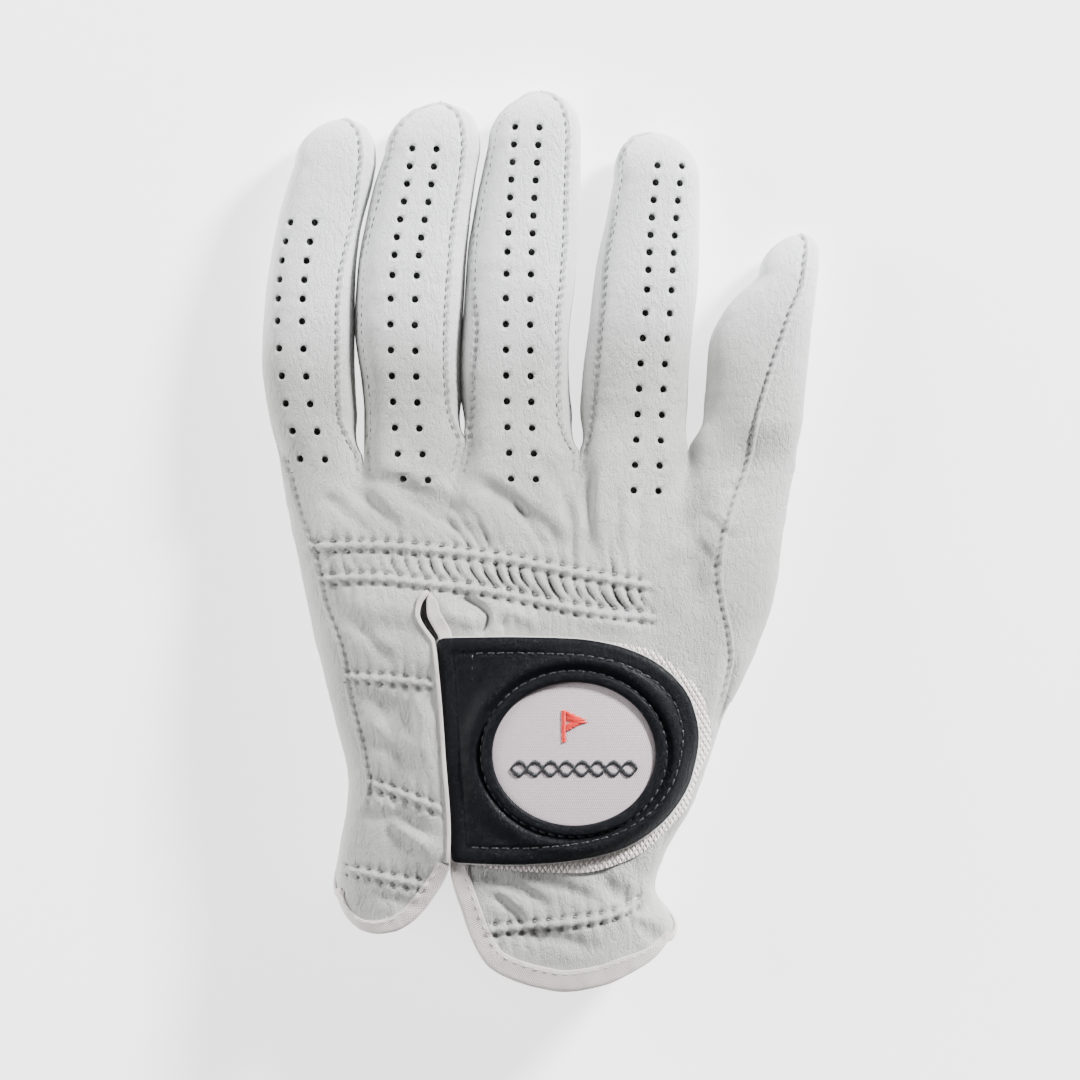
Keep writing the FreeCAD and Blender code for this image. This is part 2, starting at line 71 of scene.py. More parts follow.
MERGE = 0.002  # points nearer than this, in millimetres, become one
HOLE_RADIUS = 0.9
HOLE_DEPTH = 0.75
SPLIT_Y = 38.65  # the hand's panels end and the digits' panels begin
HAND_LIMIT_Y = 60.0  # the hand's own surface is read no further than this
RELIEF_START_Y, RELIEF_LIMIT_Y = 44.0, 62.0  # the hand's folds fade out over the digits between these
SETTLE_STEPS = 25  # rounds that bring a hem's points to rest between its seams
TAPE_POINTS = 400
UP = np.array([0.0, 0.0, 1.0])


# ------------------------------------------------------------------------------ numbers and curves
def ramp(low: float, high: float, value: Array) -> Array:
    """Smooth step: 0 below low, 1 above high, cubic between."""
    t = np.clip((np.asarray(value, float) - low) / (high - low), 0.0, 1.0)
    return t * t * (3.0 - 2.0 * t)


def bell(value: Array, width: float) -> Array:
    """Gaussian bump of the given half width."""
    return np.exp(-(np.asarray(value, float) / width) ** 2)


def mix(a: Array, b: Array, share: Array) -> Array:
    """Straight mix of two arrays."""
    return a + (b - a) * share


def unit(vectors: Array) -> Array:
    """Vectors along the last axis, at length one."""
    return vectors / np.maximum(np.linalg.norm(vectors, axis=-1, keepdims=True), 1e-9)


def stacked(x: Array, y: Array, z: Array) -> Array:
    """Points from three arrays that broadcast together."""
    return np.stack(np.broadcast_arrays(x, y, z), axis=-1)


def run_along(path: Array) -> Array:
    """Distance from a polyline's start to each of its points."""
    return np.concatenate([[0], np.cumsum(np.linalg.norm(np.diff(path, axis=0), axis=1))])


@dataclass(frozen=True)
class Track:
    """A smooth curve through a few points, value against position.

    Cubic Hermite spans whose slopes are limited so that the curve never overshoots its points.
    """
    points: tuple[tuple[float, float], ...]

    def __call__(self, where: Array) -> Array:
        """Values at the given positions, held constant past both ends."""
        px, py = np.array(self.points, float).T
        step = np.diff(px)
        secant = np.diff(py) / step
        slope = np.zeros_like(px)
        same = secant[:-1] * secant[1:] > 0
        total = np.where(same, secant[:-1] + secant[1:], 1.0)
        slope[1:-1] = np.where(same, 2.0 * secant[:-1] * secant[1:] / total, 0.0)
        slope[0], slope[-1] = secant[0], secant[-1]
        w = np.clip(np.asarray(where, float), px[0], px[-1])
        k = np.clip(np.searchsorted(px, w, side="right") - 1, 0, len(px) - 2)
        t = (w - px[k]) / step[k]
        return ((2 * t ** 3 - 3 * t ** 2 + 1) * py[k] + (t ** 3 - 2 * t ** 2 + t) * step[k] * slope[k]
                + (-2 * t ** 3 + 3 * t ** 2) * py[k + 1] + (t ** 3 - t ** 2) * step[k] * slope[k + 1])


def smooth_path(points: Sequence[tuple[float, float]], count: int) -> Array:
    """A smooth curve through plan points, at even steps of their polyline's length."""
    pts = np.array(points, float)
    s = run_along(pts)
    fine = np.linspace(0, s[-1], count)
    return np.stack([Track(tuple(zip(s, pts[:, k])))(fine) for k in (0, 1)], axis=1)


def lattice(x: Array, y: Array, seed: int) -> Array:
    """Value noise from -1 to 1: hashed values at whole positions, mixed by quintic weights."""
    x, y = np.broadcast_arrays(np.asarray(x, float), np.asarray(y, float))
    xi, yi = np.floor(x).astype(np.int64), np.floor(y).astype(np.int64)
    fx, fy = x - xi, y - yi

    def corner(i: Array, j: Array) -> Array:
        n = (i * 374761393 + j * 668265263 + seed * 1442695041) & 0x7FFFFFFF
        n = ((n ^ (n >> 13)) * 1274126177) & 0x7FFFFFFF
        return ((n ^ (n >> 16)) & 0xFFFF) / 32767.5 - 1.0

    wx = fx ** 3 * (fx * (fx * 6 - 15) + 10)
    wy = fy ** 3 * (fy * (fy * 6 - 15) + 10)
    low = mix(corner(xi, yi), corner(xi + 1, yi), wx)
    high = mix(corner(xi, yi + 1), corner(xi + 1, yi + 1), wx)
    return mix(low, high, wy)


def clouds(x: Array, y: Array, seed: int, octaves: int = 3) -> Array:
    """Sum of noise octaves, each twice as fine and half as strong."""
    total = np.zeros(np.broadcast(x, y).shape)
    for octave in range(octaves):
        scale = 2.0 ** octave
        total = total + lattice(x * scale, y * scale, seed + 17 * octave) / scale
    return total


# ------------------------------------------------------------------------------ meshes
@dataclass
class Patch:
    """A grid of points in millimetres, rows by columns, with a texture place for each point."""
    points: Array
    uv: Optional[Array] = None
    flip: bool = False
    # painted shade of each point, for darker pits and creases
    shade: Optional[Array] = None

    def normals(self) -> Array:
        """Unit normals: cross product of the grid's two central differences."""
        along = np.gradient(self.points, axis=0)
        across = np.gradient(self.points, axis=1)
        return unit(np.cross(across, along))

    def raised(self, height: Array) -> "Patch":
        """The grid moved along its normals by a height for each point."""
        return Patch(self.points + self.normals() * height[..., None], self.uv, self.flip, self.shade)


@dataclass
class MeshData:
    """Vertices, faces, texture places and painted shades that add up to one mesh."""
    verts: list[Array] = field(default_factory=list)
    faces: list[Array] = field(default_factory=list)
    uvs: list[Array] = field(default_factory=list)
    shades: list[Array] = field(default_factory=list)
    count: int = 0

    def add(self, points: Array, quads: Array, uv: Optional[Array] = None,
            shade: Optional[Array] = None) -> None:
        """Adds loose points and quads that index them."""
        points = points.reshape(-1, 3)
        self.shades.append(np.zeros(len(points)) if shade is None else shade.ravel())
        self.verts.append(points)
        self.faces.append(quads.reshape(-1, 4) + self.count)
        self.uvs.append(points[:, :2].copy() if uv is None else uv.reshape(-1, 2))
        self.count += len(points)

    def add_patch(self, patch: Patch, wrap: bool = False, keep: Optional[Array] = None) -> None:
        """Adds a grid as quads.

        Args:
            patch: the grid.
            wrap: joins the last column to the first.
            keep: one flag for each cell; False leaves a hole.
        """
        rows, cols = patch.points.shape[:2]
        index = np.arange(rows * cols).reshape(rows, cols)
        if wrap:
            index = np.concatenate([index, index[:, :1]], axis=1)
        quads = np.stack([index[:-1, :-1], index[:-1, 1:], index[1:, 1:], index[1:, :-1]], axis=-1)
        if patch.flip:
            quads = quads[..., ::-1]
        quads = quads.reshape(-1, 4) if keep is None else quads[keep]
        self.add(patch.points, quads, patch.uv, patch.shade)

    def build(self, name: str, material: bpy.types.Material, merge: float = 0.0) -> bpy.types.Object:
        """Makes the Blender object, in metres, smooth shaded.

        Args:
            name: object name.
            material: its one material.
            merge: joins points nearer than this, in millimetres.

        Returns:
            The linked object.
        """
        verts = np.concatenate(self.verts)
        faces = np.concatenate(self.faces)
        uvs = np.concatenate(self.uvs)
        shades = np.concatenate(self.shades)
        if merge:
            key = np.round(verts / merge).astype(np.int64)
            _, first, inverse = np.unique(key, axis=0, return_index=True, return_inverse=True)
            inverse = inverse.reshape(-1)
            verts, uvs, shades, faces = verts[first], uvs[first], shades[first], inverse[faces]
        pairs = np.stack([faces, np.roll(faces, -1, axis=1)], axis=-1)
        same = pairs[..., 0] == pairs[..., 1]
        whole = same.sum(axis=1) == 0
        cut = same.sum(axis=1) == 1
        tri_rows = faces[cut]
        drop = np.argmax(same[cut], axis=1) if cut.any() else np.zeros(0, int)
        order = (drop[:, None] + np.array([1, 2, 3])[None, :]) % 4
        tris = np.take_along_axis(tri_rows, order, axis=1) if cut.any() else np.zeros((0, 3), int)
        mesh = bpy.data.meshes.new(name)
        loops = np.concatenate([faces[whole].ravel(), tris.ravel()])
        totals = np.concatenate([np.full(whole.sum(), 4), np.full(len(tris), 3)])
        starts = np.concatenate([[0], np.cumsum(totals)[:-1]])
        mesh.vertices.add(len(verts))
        mesh.vertices.foreach_set("co", (verts * MM).ravel())
        mesh.loops.add(len(loops))
        mesh.loops.foreach_set("vertex_index", loops.astype(np.int32))
        mesh.polygons.add(len(totals))
        mesh.polygons.foreach_set("loop_start", starts.astype(np.int32))
        mesh.polygons.foreach_set("loop_total", totals.astype(np.int32))
        mesh.polygons.foreach_set("use_smooth", np.ones(len(totals), bool))
        layer = mesh.uv_layers.new(name="UVMap")
        layer.data.foreach_set("uv", uvs[loops].astype(np.float32).ravel())
        # painted shade of each point, which the leather turns into darker pits and creases
        painted_shade_tone = mesh.attributes.new("shade", "FLOAT", "POINT")
        painted_shade_tone.data.foreach_set("value", shades.astype(np.float32))
        mesh.update()
        mesh.validate()
        obj = bpy.data.objects.new(name, mesh)
        bpy.context.scene.collection.objects.link(obj)
        mesh.materials.append(material)
        return obj


def sweep(path: Array, side: Array, up: Array, profile: Array, closed: bool = False) -> Patch:
    """A profile carried along a path: point plus side times its first value plus up times its second.

    Args:
        path: points, n by 3.
        side: unit sideways direction at each point.
        up: unit upward direction at each point.
        profile: n by m by 2, or m by 2 for one profile everywhere.
        closed: repeats the first row at the end.

    Returns:
        The grid, a row for each path point.
    """
    if profile.ndim == 2:
        profile = np.broadcast_to(profile, (len(path),) + profile.shape)
    points = path[:, None] + side[:, None] * profile[..., :1] + up[:, None] * profile[..., 1:]
    if closed:
        points = np.concatenate([points, points[:1]])
    rows, cols = points.shape[:2]
    run = run_along(points[:, 0])
    around = np.linspace(0, 1, cols) * 6.0
    uv = np.stack(np.broadcast_arrays(run[:, None], around[None, :]), axis=-1)
    return Patch(points, uv)


def resample(path: Array, step: float) -> Array:
    """Points at even distances along a polyline."""
    run = run_along(path)
    count = max(int(round(run[-1] / step)), 1) + 1
    s = np.linspace(0, run[-1], count)
    return np.stack([np.interp(s, run, path[:, k]) for k in range(path.shape[1])], axis=1)


def stitches(data: MeshData, path: Array, up: Array, pitch: float, length: float, radius: float,
             seed: int = 1, places: Optional[Array] = None) -> None:
    """Adds thread stitches: short arched capsules, six-sided, at even steps along a path.

    A capsule's rings sit at shares t of its length, with radius r * sqrt(1 - (2t - 1)^6) and height
    h * (1 - (2t - 1)^2), so that its ends dive into the leather.

    Args:
        data: mesh that takes them.
        path: polyline, n by 3.
        up: unit normal at each point of the polyline.
        pitch: distance between stitches.
        length: visible length of one.
        radius: half thickness of the thread.
        seed: for the small unevenness.
        places: plan x of each stitch, instead of even steps.
    """
    run = run_along(path)
    count = int(run[-1] / pitch)
    if count < 1:
        return
    s = (np.arange(count) + 0.5) * run[-1] / count
    rng = np.random.default_rng(seed)
    s = s + rng.normal(0, 0.05 * pitch, count)
    if places is not None:
        s = np.interp(places, path[:, 0], run)
        count = len(s)

    def at(where: Array, values: Array) -> Array:
        return np.stack([np.interp(where, run, values[:, k]) for k in range(3)], axis=1)

    centre, normal = at(s, path), at(s, up)
    tangent, normal = unit(at(s + 0.2, path) - at(s - 0.2, path)), unit(normal)
    side = np.cross(normal, tangent)
    turn = rng.normal(0, 0.06, count)[:, None]
    heading = tangent * np.cos(turn) + side * np.sin(turn)
    side = np.cross(normal, heading)
    t = np.array([0.0, 0.1, 0.3, 0.5, 0.7, 0.9, 1.0])
    rings, sides = len(t), 6
    size = radius * np.sqrt(np.clip(1 - (2 * t - 1) ** 6, 0.02, 1))
    lift = radius * 1.1 * (1 - (2 * t - 1) ** 2) - radius * 0.35
    angle = np.linspace(0, 2 * np.pi, sides, endpoint=False)
    ring_side = np.cos(angle)[None, :] * size[:, None]
    ring_up = np.sin(angle)[None, :] * size[:, None] + lift[:, None]
    forward = (t - 0.5) * length
    points = (centre[:, None, None] + heading[:, None, None] * forward[None, :, None, None]
              + side[:, None, None] * ring_side[None, ..., None]
              + normal[:, None, None] * ring_up[None, ..., None])
    index = np.arange(rings * sides).reshape(rings, sides)
    index = np.concatenate([index, index[:, :1]], axis=1)
    quads = np.stack([index[:-1, :-1], index[1:, :-1], index[1:, 1:], index[:-1, 1:]], axis=-1)
    first = np.arange(count) * rings * sides
    data.add(points, quads.reshape(1, -1, 4) + first[:, None, None])


def punched(data: MeshData, patch: Patch, centres: Array, radius: float, depth: float) -> None:
    """Adds a grid with round holes punched through it, each with a turned-down wall.

    The four by four cells round a hole's centre are left out.  The sixteen points round them move onto a
    circle, and two more rings go down from it, of 0.93 and 0.88 of the radius.

    Args:
        data: mesh that takes it.
        patch: the grid, with cells about a quarter of the hole's width.
        centres: plan x and y of each hole.
        radius: hole radius.
        depth: length of the wall.
    """
    points, normal = patch.points.copy(), patch.normals()
    rows, cols = points.shape[:2]
    keep = np.ones((rows - 1, cols - 1), bool)
    loop = ([(-2, k) for k in range(-2, 2)] + [(k, 2) for k in range(-2, 2)]
            + [(2, k) for k in range(2, -2, -1)] + [(k, -2) for k in range(2, -2, -1)])
    angle = np.array([math.atan2(i, j) for i, j in loop])
    walls: list[Array] = []
    for cx, cy in centres:
        gap = (points[..., 0] - cx) ** 2 + (points[..., 1] - cy) ** 2
        i, j = np.unravel_index(np.argmin(gap), gap.shape)
        if gap[i, j] > 1.0 or i < 2 or j < 3 or i > rows - 3 or j > cols - 4:
            continue
        keep[i - 2:i + 2, j - 2:j + 2] = False
        up = normal[i, j]
        across = np.array([1.0, 0.0, 0.0]) - up * up[0]
        across /= np.linalg.norm(across)
        along = np.cross(up, across)
        centre = points[i, j] + across * (cx - points[i, j, 0]) + along * (cy - points[i, j, 1])
        circle = centre + radius * (np.cos(angle)[:, None] * across + np.sin(angle)[:, None] * along)
        ii = np.array([i + a for a, _ in loop])
        jj = np.array([j + b for _, b in loop])
        points[ii, jj] = circle - up * 0.06
        shrink = [(1.0, -0.06), (0.93, -0.22), (0.88, -depth)]
        walls.append(np.stack([centre + (circle - centre) * k + up * d for k, d in shrink]))
    data.add_patch(Patch(points, patch.uv, patch.flip, patch.shade), keep=keep)
    for wall in walls:
        data.add_patch(Patch(wall[::-1], flip=not patch.flip), wrap=True)


# ------------------------------------------------------------------------------ forms of hand and digits
@dataclass
class Section:
    """Superellipse sections at given positions along the glove.

    Above the middle height, z = middle + rise * (1 - |X|^n)^(1/n), below it the same downwards, where X
    is the share of the half width from the centre.
    """
    centre: Array
    half: Array
    middle: Array
    rise: Array
    drop: Array
    n_left: Array
    n_right: Array
    n_under: float

    def share(self, x: Array) -> Array:
        """Sideways place as a share of the half width."""
        return np.clip((x - self.centre) / np.maximum(self.half, 1e-6), -1, 1)

    def top(self, x: Array) -> Array:
        """Height of the upper surface at x."""
        s = self.share(x)
        n = np.where(s < 0, self.n_left, self.n_right)
        return self.middle + self.rise * np.clip(1 - np.abs(s) ** n, 0, 1) ** (1 / n)

    def under(self, x: Array) -> Array:
        """Height of the lower surface at x."""
        s = np.abs(self.share(x))
        return self.middle - self.drop * np.clip(1 - s ** self.n_under, 0, 1) ** (1 / self.n_under)

    def wall(self, side: int, x_top: Array, x_low: Array, w: Array) -> tuple[Array, Array]:
        """Points round one side, from the upper surface at x_top to the lower one at x_low.

        The angle runs evenly from the upper point to the lower; x is |cos|^(2/n) of the half width and z
        is |sin|^(2/n) of the rise or the drop.

        Args:
            side: -1 left, 1 right.
            x_top: where it starts on top.
            x_low: where it ends below.
            w: share of the way round, 0 to 1.

        Returns:
            x and z.
        """
        n = self.n_left if side < 0 else self.n_right
        start = np.arccos(np.clip(np.abs(self.share(x_top)), 0, 1) ** (n / 2))
        end = -np.arccos(np.clip(np.abs(self.share(x_low)), 0, 1) ** (self.n_under / 2))
        angle = mix(start, end, w)
        power = np.where(angle > 0, 2 / n, 2 / self.n_under)
        x = self.centre + side * self.half * np.abs(np.cos(angle)) ** power
        rise = np.abs(np.sin(angle)) ** power
        return x, self.middle + np.where(angle > 0, self.rise * rise, -self.drop * rise)


@dataclass
class HandForm:
    """The hand without its fingers, filled as if worn: sizes and smooth surfaces in millimetres."""
    left: Track = Track(((-84, -36.0), (-67, -37.2), (-56, -37.9), (-46, -36.6), (-33, -34.9), (-18, -38.2),
                         (-4, -41.7), (9, -44.6), (23, -47.6), (40, -50.6), (60, -53)))
    right: Track = Track(((-84, 39.0), (-66, 40.4), (-57, 35.6), (-49, 38.0), (-39, 43.9), (-29, 47.6),
                          (-18, 51.4), (-8, 56.4), (2, 60.7), (13, 63.8), (23, 65.2), (33, 66.8),
                          (40, 68.3)))
    height: Track = Track(((-84, 26.6), (-66, 27.6), (-50, 28.6), (-30, 29.0), (0, 29.0), (12, 27.9),
                           (25, 25.4), (40, 21.8), (52, 19.5)))
    middle: Track = Track(((-84, 12.5), (-40, 12.0), (0, 10.5), (40, 9.0)))
    boxiness_right: Track = Track(((-50, 3.6), (-25, 3.4), (-4, 2.5), (40, 2.3)))
    boxiness_left: Track = Track(((-50, 3.4), (0, 3.0), (25, 2.5), (40, 2.4)))
    ulnar_seam: Track = Track(((-68, -36.6), (-57, -37.0), (-46, -34.4), (-33, -31.0), (-26, -32.3),
                               (-12, -35.7), (-4, -37.0), (8.5, -41.2), (16, -42.7), (24, -45.2),
                               (30, -47.4), (39, -49.6), (60, -52)))
    pinkie_ring: Track = Track(((-68, -28), (-20, -27.0), (15, -29.0), (40.3, -31.5)))
    slit_left: Track = Track(((-84, -11.6), (-51.8, -11.5), (-45, -11.3), (-27, -12.5), (-18, -13.1),
                              (-7, -14.1), (0, -15.0), (2.6, -16.9), (6.2, -18.5), (9.2, -17.6),
                              (10.5, -16.4), (14, -15.6), (25, -13.0), (44.9, -8.0)))
    slit_right: Track = Track(((-84, -11.3), (-51.8, -11.2), (-45, -11.0), (-27, -12.2), (-18, -12.8),
                               (-7, -13.6), (0, -13.7), (2.6, -14.9), (6.2, -16.6), (9.2, -16.7),
                               (10.5, -16.4), (14, -15.6), (25, -13.0), (44.9, -8.0)))
    middle_index: Track = Track(((-84, 12), (0, 14), (41.9, 18.4)))
    index_thumb: Track = Track(((-84, 30), (0, 38.0), (25, 41.5), (42.5, 43.3)))
    thumb_seam: Track = Track(((-84, 37.6), (-66, 39.0), (-57, 34.2), (-49, 36.6), (-39, 42.5), (-29, 46.2),
                               (-20, 50.4), (-14, 52.6), (-5.5, 54.3), (1.4, 53.7), (8, 52.2), (15, 51.2),
                               (24, 52.2), (32, 54.8), (39, 57.4), (42.6, 58.4)))
    groove_depth: float = 3.4

    def section(self, y: Array) -> Section:
        """Sections of the whole hand at y."""
        left, right = self.left(y), self.right(y)
        middle = self.middle(y)
        return Section((left + right) / 2, (right - left) / 2, middle, self.height(y) - middle, middle,
                       self.boxiness_left(y), self.boxiness_right(y), 5.0)

    def grooves(self, x: Array, y: Array) -> Array:
        """Valleys between the knuckles: bells across the dividing lines, deeper towards the fingers."""
        total = np.zeros(np.broadcast(x, y).shape)
        for line in (self.pinkie_ring, self.slit_right, self.middle_index):
            total = total + bell(x - line(y), 3.4) * ramp(20, 43, y)
        return total + 1.2 * bell(x - self.index_thumb(y), 3.0) * ramp(30, 43, y)

    def top(self, x: Array, y: Array) -> Array:
        """Height of the back of the hand."""
        return self.section(y).top(x) - self.groove_depth * self.grooves(x, y)

    def under(self, x: Array, y: Array) -> Array:
        """Height of the palm."""
        return self.section(y).under(x) + 0.8 * self.groove_depth * self.grooves(x, y) * ramp(30, 43, y)


class Cover(Enum):
    """What covers one side of a digit."""
    FOURCHETTE = "fourchette"
    PALM = "palm"
    BACK = "back"


@dataclass
class Digit:
    """One finger or the thumb: its outline, seams, heights and joints, in millimetres."""
    name: str
    left: Track
    right: Track
    left_seam: Track
    right_seam: Track
    tip: tuple[float, float]
    cap: float
    height: Track
    left_crotch: Optional[float]
    right_crotch: Optional[float]
    knuckle: float
    middle_joint: float
    split: float
    knuckle_zone: tuple[float, float]
    middle_zone: tuple[float, float]
    left_cover: Cover
    right_cover: Cover
    hand_left: Optional[Track] = None
    hand_right: Optional[Track] = None
    holes: Optional[Track] = None
    hole_rows: int = 0
    hole_span: tuple[float, float] = (0.0, 0.0)
    boxiness: float = 2.45
    seam_margin: float = 1.1
    outer_seam_end: float = 1000.0

    def crotch(self, side: int) -> Optional[float]:
        """Plan y of the crotch on one side, if there is one."""
        return self.left_crotch if side < 0 else self.right_crotch

    def hole_rows_y(self) -> Array:
        """Plan y of the hole rows: wide steps below, closing to 0.69 of them towards the tip."""
        if self.holes is None:
            return np.zeros(0)
        steps = mix(1.0, 0.69, ramp(0.42, 0.66, np.linspace(0, 1, self.hole_rows - 1)))
        run = np.concatenate([[0], np.cumsum(steps)])
        return self.hole_span[0] + (self.hole_span[1] - self.hole_span[0]) * run / run[-1]

    def cut(self) -> float:
        """Where the two lengths meet: the middle between two hole rows, nearest the wanted place."""
        y = self.hole_rows_y()
        if not len(y):
            return self.split
        middles = (y[1:] + y[:-1]) / 2
        return float(middles[np.argmin(np.abs(middles - self.split))])

    def rows(self, start: float, end: float, step: float = 0.5) -> Array:
        """Positions of the rows: even steps, then closer together round the tip."""
        limit = self.tip[1] - self.cap
        if end <= limit:
            return np.linspace(start, end, int(round((end - start) / step)) + 1)
        straight = np.linspace(start, limit, int(round((limit - start) / step)) + 1)
        angle = np.linspace(0, np.pi / 2, 30)[1:]
        return np.concatenate([straight, limit + self.cap * np.sin(angle) ** 0.94])

    def section(self, y: Array) -> Section:
        """Sections of the digit; round the tip the width and depth shrink as (1 - t^2.15)^(1/2.15)."""
        limit = self.tip[1] - self.cap
        t = np.clip((y - limit) / self.cap, 0, 1)
        shrink = np.clip(1 - t ** 2.15, 0, 1) ** (1 / 2.15)
        base = np.minimum(y, limit)
        left, right = self.left(base), self.right(base)
        centre = mix((left + right) / 2, self.tip[0] + 0 * y, t ** 1.6)
        deep = np.clip(1 - t ** 2.6, 0, 1) ** (1 / 2.6)
        half_height = self.height(y) / 2
        return Section(centre, (right - left) / 2 * shrink, half_height - 0.8 * t ** 2, half_height * deep,
                       (half_height - 0.8 * t ** 2) * deep, self.boxiness + 0 * y, self.boxiness + 0 * y,
                       3.4)

    def seam(self, side: int, y: Array) -> Array:
        """Plan x of a back seam; round the tip it keeps its share of the half width."""
        limit = self.tip[1] - self.cap
        base = np.minimum(y, limit)
        line = self.left_seam if side < 0 else self.right_seam
        edge = self.section(base)
        margin = 0.0 if self.crotch(side) is None else side * self.seam_margin
        share = np.clip((line(base) + margin - edge.centre) / edge.half, -0.995, 0.995)
        now = self.section(y)
        return now.centre + share * now.half

    def freed(self, side: int, y: Array) -> Array:
        """How far the digit's own form holds on one side: 0 up to the crotch, 1 well past it."""
        start = self.wall_start(side)
        return ramp(start, start + 12.0, y)

    def border(self, side: int, y: Array) -> Array:
        """Plan x where this digit's column of the hand ends on one side."""
        line, crotch = self.hand_left if side < 0 else self.hand_right, self.crotch(side)
        own = self.seam(side, y)
        return own if crotch is None or line is None else np.where(y <= crotch, line(y), own)

    def back(self, hand: HandForm, y: Array, u: Array) -> Array:
        """Grid of the back: x runs straight from seam to seam, z mixes the hand's form and the digit's."""
        yy, uu = y[:, None], u[None, :]
        x = mix(self.border(-1, yy), self.border(1, yy), uu)
        free = mix(self.freed(-1, yy), self.freed(1, yy), uu)
        z = mix(hand.top(x, np.minimum(yy, HAND_LIMIT_Y)), self.section(yy).top(x), free)
        return stacked(x, yy, z)

    def palm(self, hand: HandForm, y: Array, u: Array) -> Array:
        """Grid of the palm side, from the right seam to the left one."""
        yy, uu = y[:, None], u[None, :]
        x = mix(self.border(1, yy), self.border(-1, yy), uu)
        free = mix(self.freed(1, yy), self.freed(-1, yy), uu)
        z = mix(hand.under(x, np.minimum(yy, HAND_LIMIT_Y)), self.section(yy).under(x), free)
        return stacked(x, yy, z)

    def wall(self, hand: HandForm, side: int, y: Array, u: Array) -> Array:
        """Grid of one side, top seam to palm seam on the right and palm seam to top on the left.

        At a crotch it starts as an upright line; elsewhere it starts as the hand's own side.
        """
        yy, uu = y[:, None], u[None, :]
        w = uu if side > 0 else 1 - uu
        x_edge = self.border(side, yy)
        x_own, z_own = self.section(yy).wall(side, x_edge, x_edge, w)
        near = np.minimum(yy, HAND_LIMIT_Y)
        if self.crotch(side) is None:
            x_hand, z_hand = hand.section(near).wall(side, x_edge, x_edge, w)
        else:
            x_hand = x_edge + 0 * w
            z_hand = mix(hand.top(x_edge, near), hand.under(x_edge, near), w)
        free = self.freed(side, yy)
        return stacked(mix(x_hand, x_own, free), yy, mix(z_hand, z_own, free))

    def wall_start(self, side: int) -> float:
        """Where the side wall begins."""
        crotch = self.crotch(side)
        return SPLIT_Y if crotch is None else crotch


# ------------------------------------------------------------------------------ relief of the leather
def furrow(phase: Array, width: Array) -> Array:
    """A narrow bell round every half count of a phase, where the needle pits lie."""
    return bell(np.mod(phase, 1.0) - 0.5, width)


@dataclass(frozen=True)
class Band:
    """A double row of stitches over a hidden elastic: its upper row and where it runs."""
    line: Track
    start: float
    end: float
    gap: float = 2.4
    pitch: float = 3.1
    pull: float = 1.0
    reach: float = 3.4

    def inside(self, x: Array) -> Array:
        """1 along the band, fading out at both ends."""
        return ramp(self.start - 1.5, self.start + 1.5, x) * (1 - ramp(self.end - 1.5, self.end + 1.5, x))

    def phase(self, x: Array) -> Array:
        """Stitch count along the band, with uneven spacing; whole numbers lie on beads."""
        return x / self.pitch + 0.22 * lattice(x / 9.0, 0 * x, 5)

    def needle_places(self) -> Array:
        """Plan x of the needle pits: half way between beads."""
        first, last = float(self.phase(np.array(self.start))), float(self.phase(np.array(self.end)))
        want = np.arange(math.ceil(first), math.floor(last) + 1) - 0.5
        fine = np.linspace(self.start - 4, self.end + 4, 2000)
        return np.interp(want, self.phase(fine), fine)

    def shade(self, x: Array, y: Array) -> Array:
        """Painted shade in the needle pits."""
        d = y - self.line(x)
        beat = -np.cos(2 * np.pi * self.phase(x))
        return (bell(d, 0.42) + bell(d + self.gap, 0.42)) * ramp(0.1, 0.95, beat) * self.inside(x)

    def relief(self, x: Array, y: Array, seed: int) -> Array:
        """Height of the gathered leather.

        A beaded welt between the rows, a groove pinched at every stitch along each row, and puckers that
        run out from the rows and die away with distance.
        """
        d = y - self.line(x)
        beat = 2 * np.pi * self.phase(x)
        welt = bell(d + self.gap / 2, 0.80) * (0.46 + 0.26 * np.cos(beat))
        rows = -(0.42 - 0.26 * np.cos(beat)) * (bell(d, 0.46) + bell(d + self.gap, 0.46))
        over = np.maximum(d, 0)
        below = np.maximum(-self.gap - d, 0)
        out = np.where(d > 0, np.exp(-over / self.reach),
                       np.where(d < -self.gap, np.exp(-below / self.reach), 0))
        uneven = 0.65 + 0.6 * lattice(x / 4.3, y / 14.0, seed + 5)
        wave = np.cos(2 * np.pi * self.phase(x + 0.16 * d))
        pucker = 0.34 * self.pull * out * uneven * (wave - 0.35 * wave ** 2)
        pinch = -0.34 * self.pull * out * np.exp(-(over + below) / 1.6)
        return (welt + rows + pucker + pinch) * self.inside(x)

    def row(self, hand: HandForm, which: int, lift: Lift) -> tuple[Array, Array]:
        """Path and normals of one stitch row on the back of the hand."""
        x = np.arange(self.start, self.end, 0.4)
        y = self.line(x) - self.gap * which
        return on_back(hand, x, y, lift)


def on_back(hand: HandForm, x: Array, y: Array, lift: Lift) -> tuple[Array, Array]:
    """Points on the back of the hand at plan places, with its normals from height differences."""
    def height(a: Array, b: Array) -> Array:
        return hand.top(a, b) + lift(a, b)

    z = height(x, y)
    dx = (height(x + 0.6, y) - height(x - 0.6, y)) / 1.2
    dy = (height(x, y + 0.6) - height(x, y - 0.6)) / 1.2
    return np.stack([x, y, z], axis=-1), unit(np.stack([-dx, -dy, np.ones_like(z)], axis=-1))


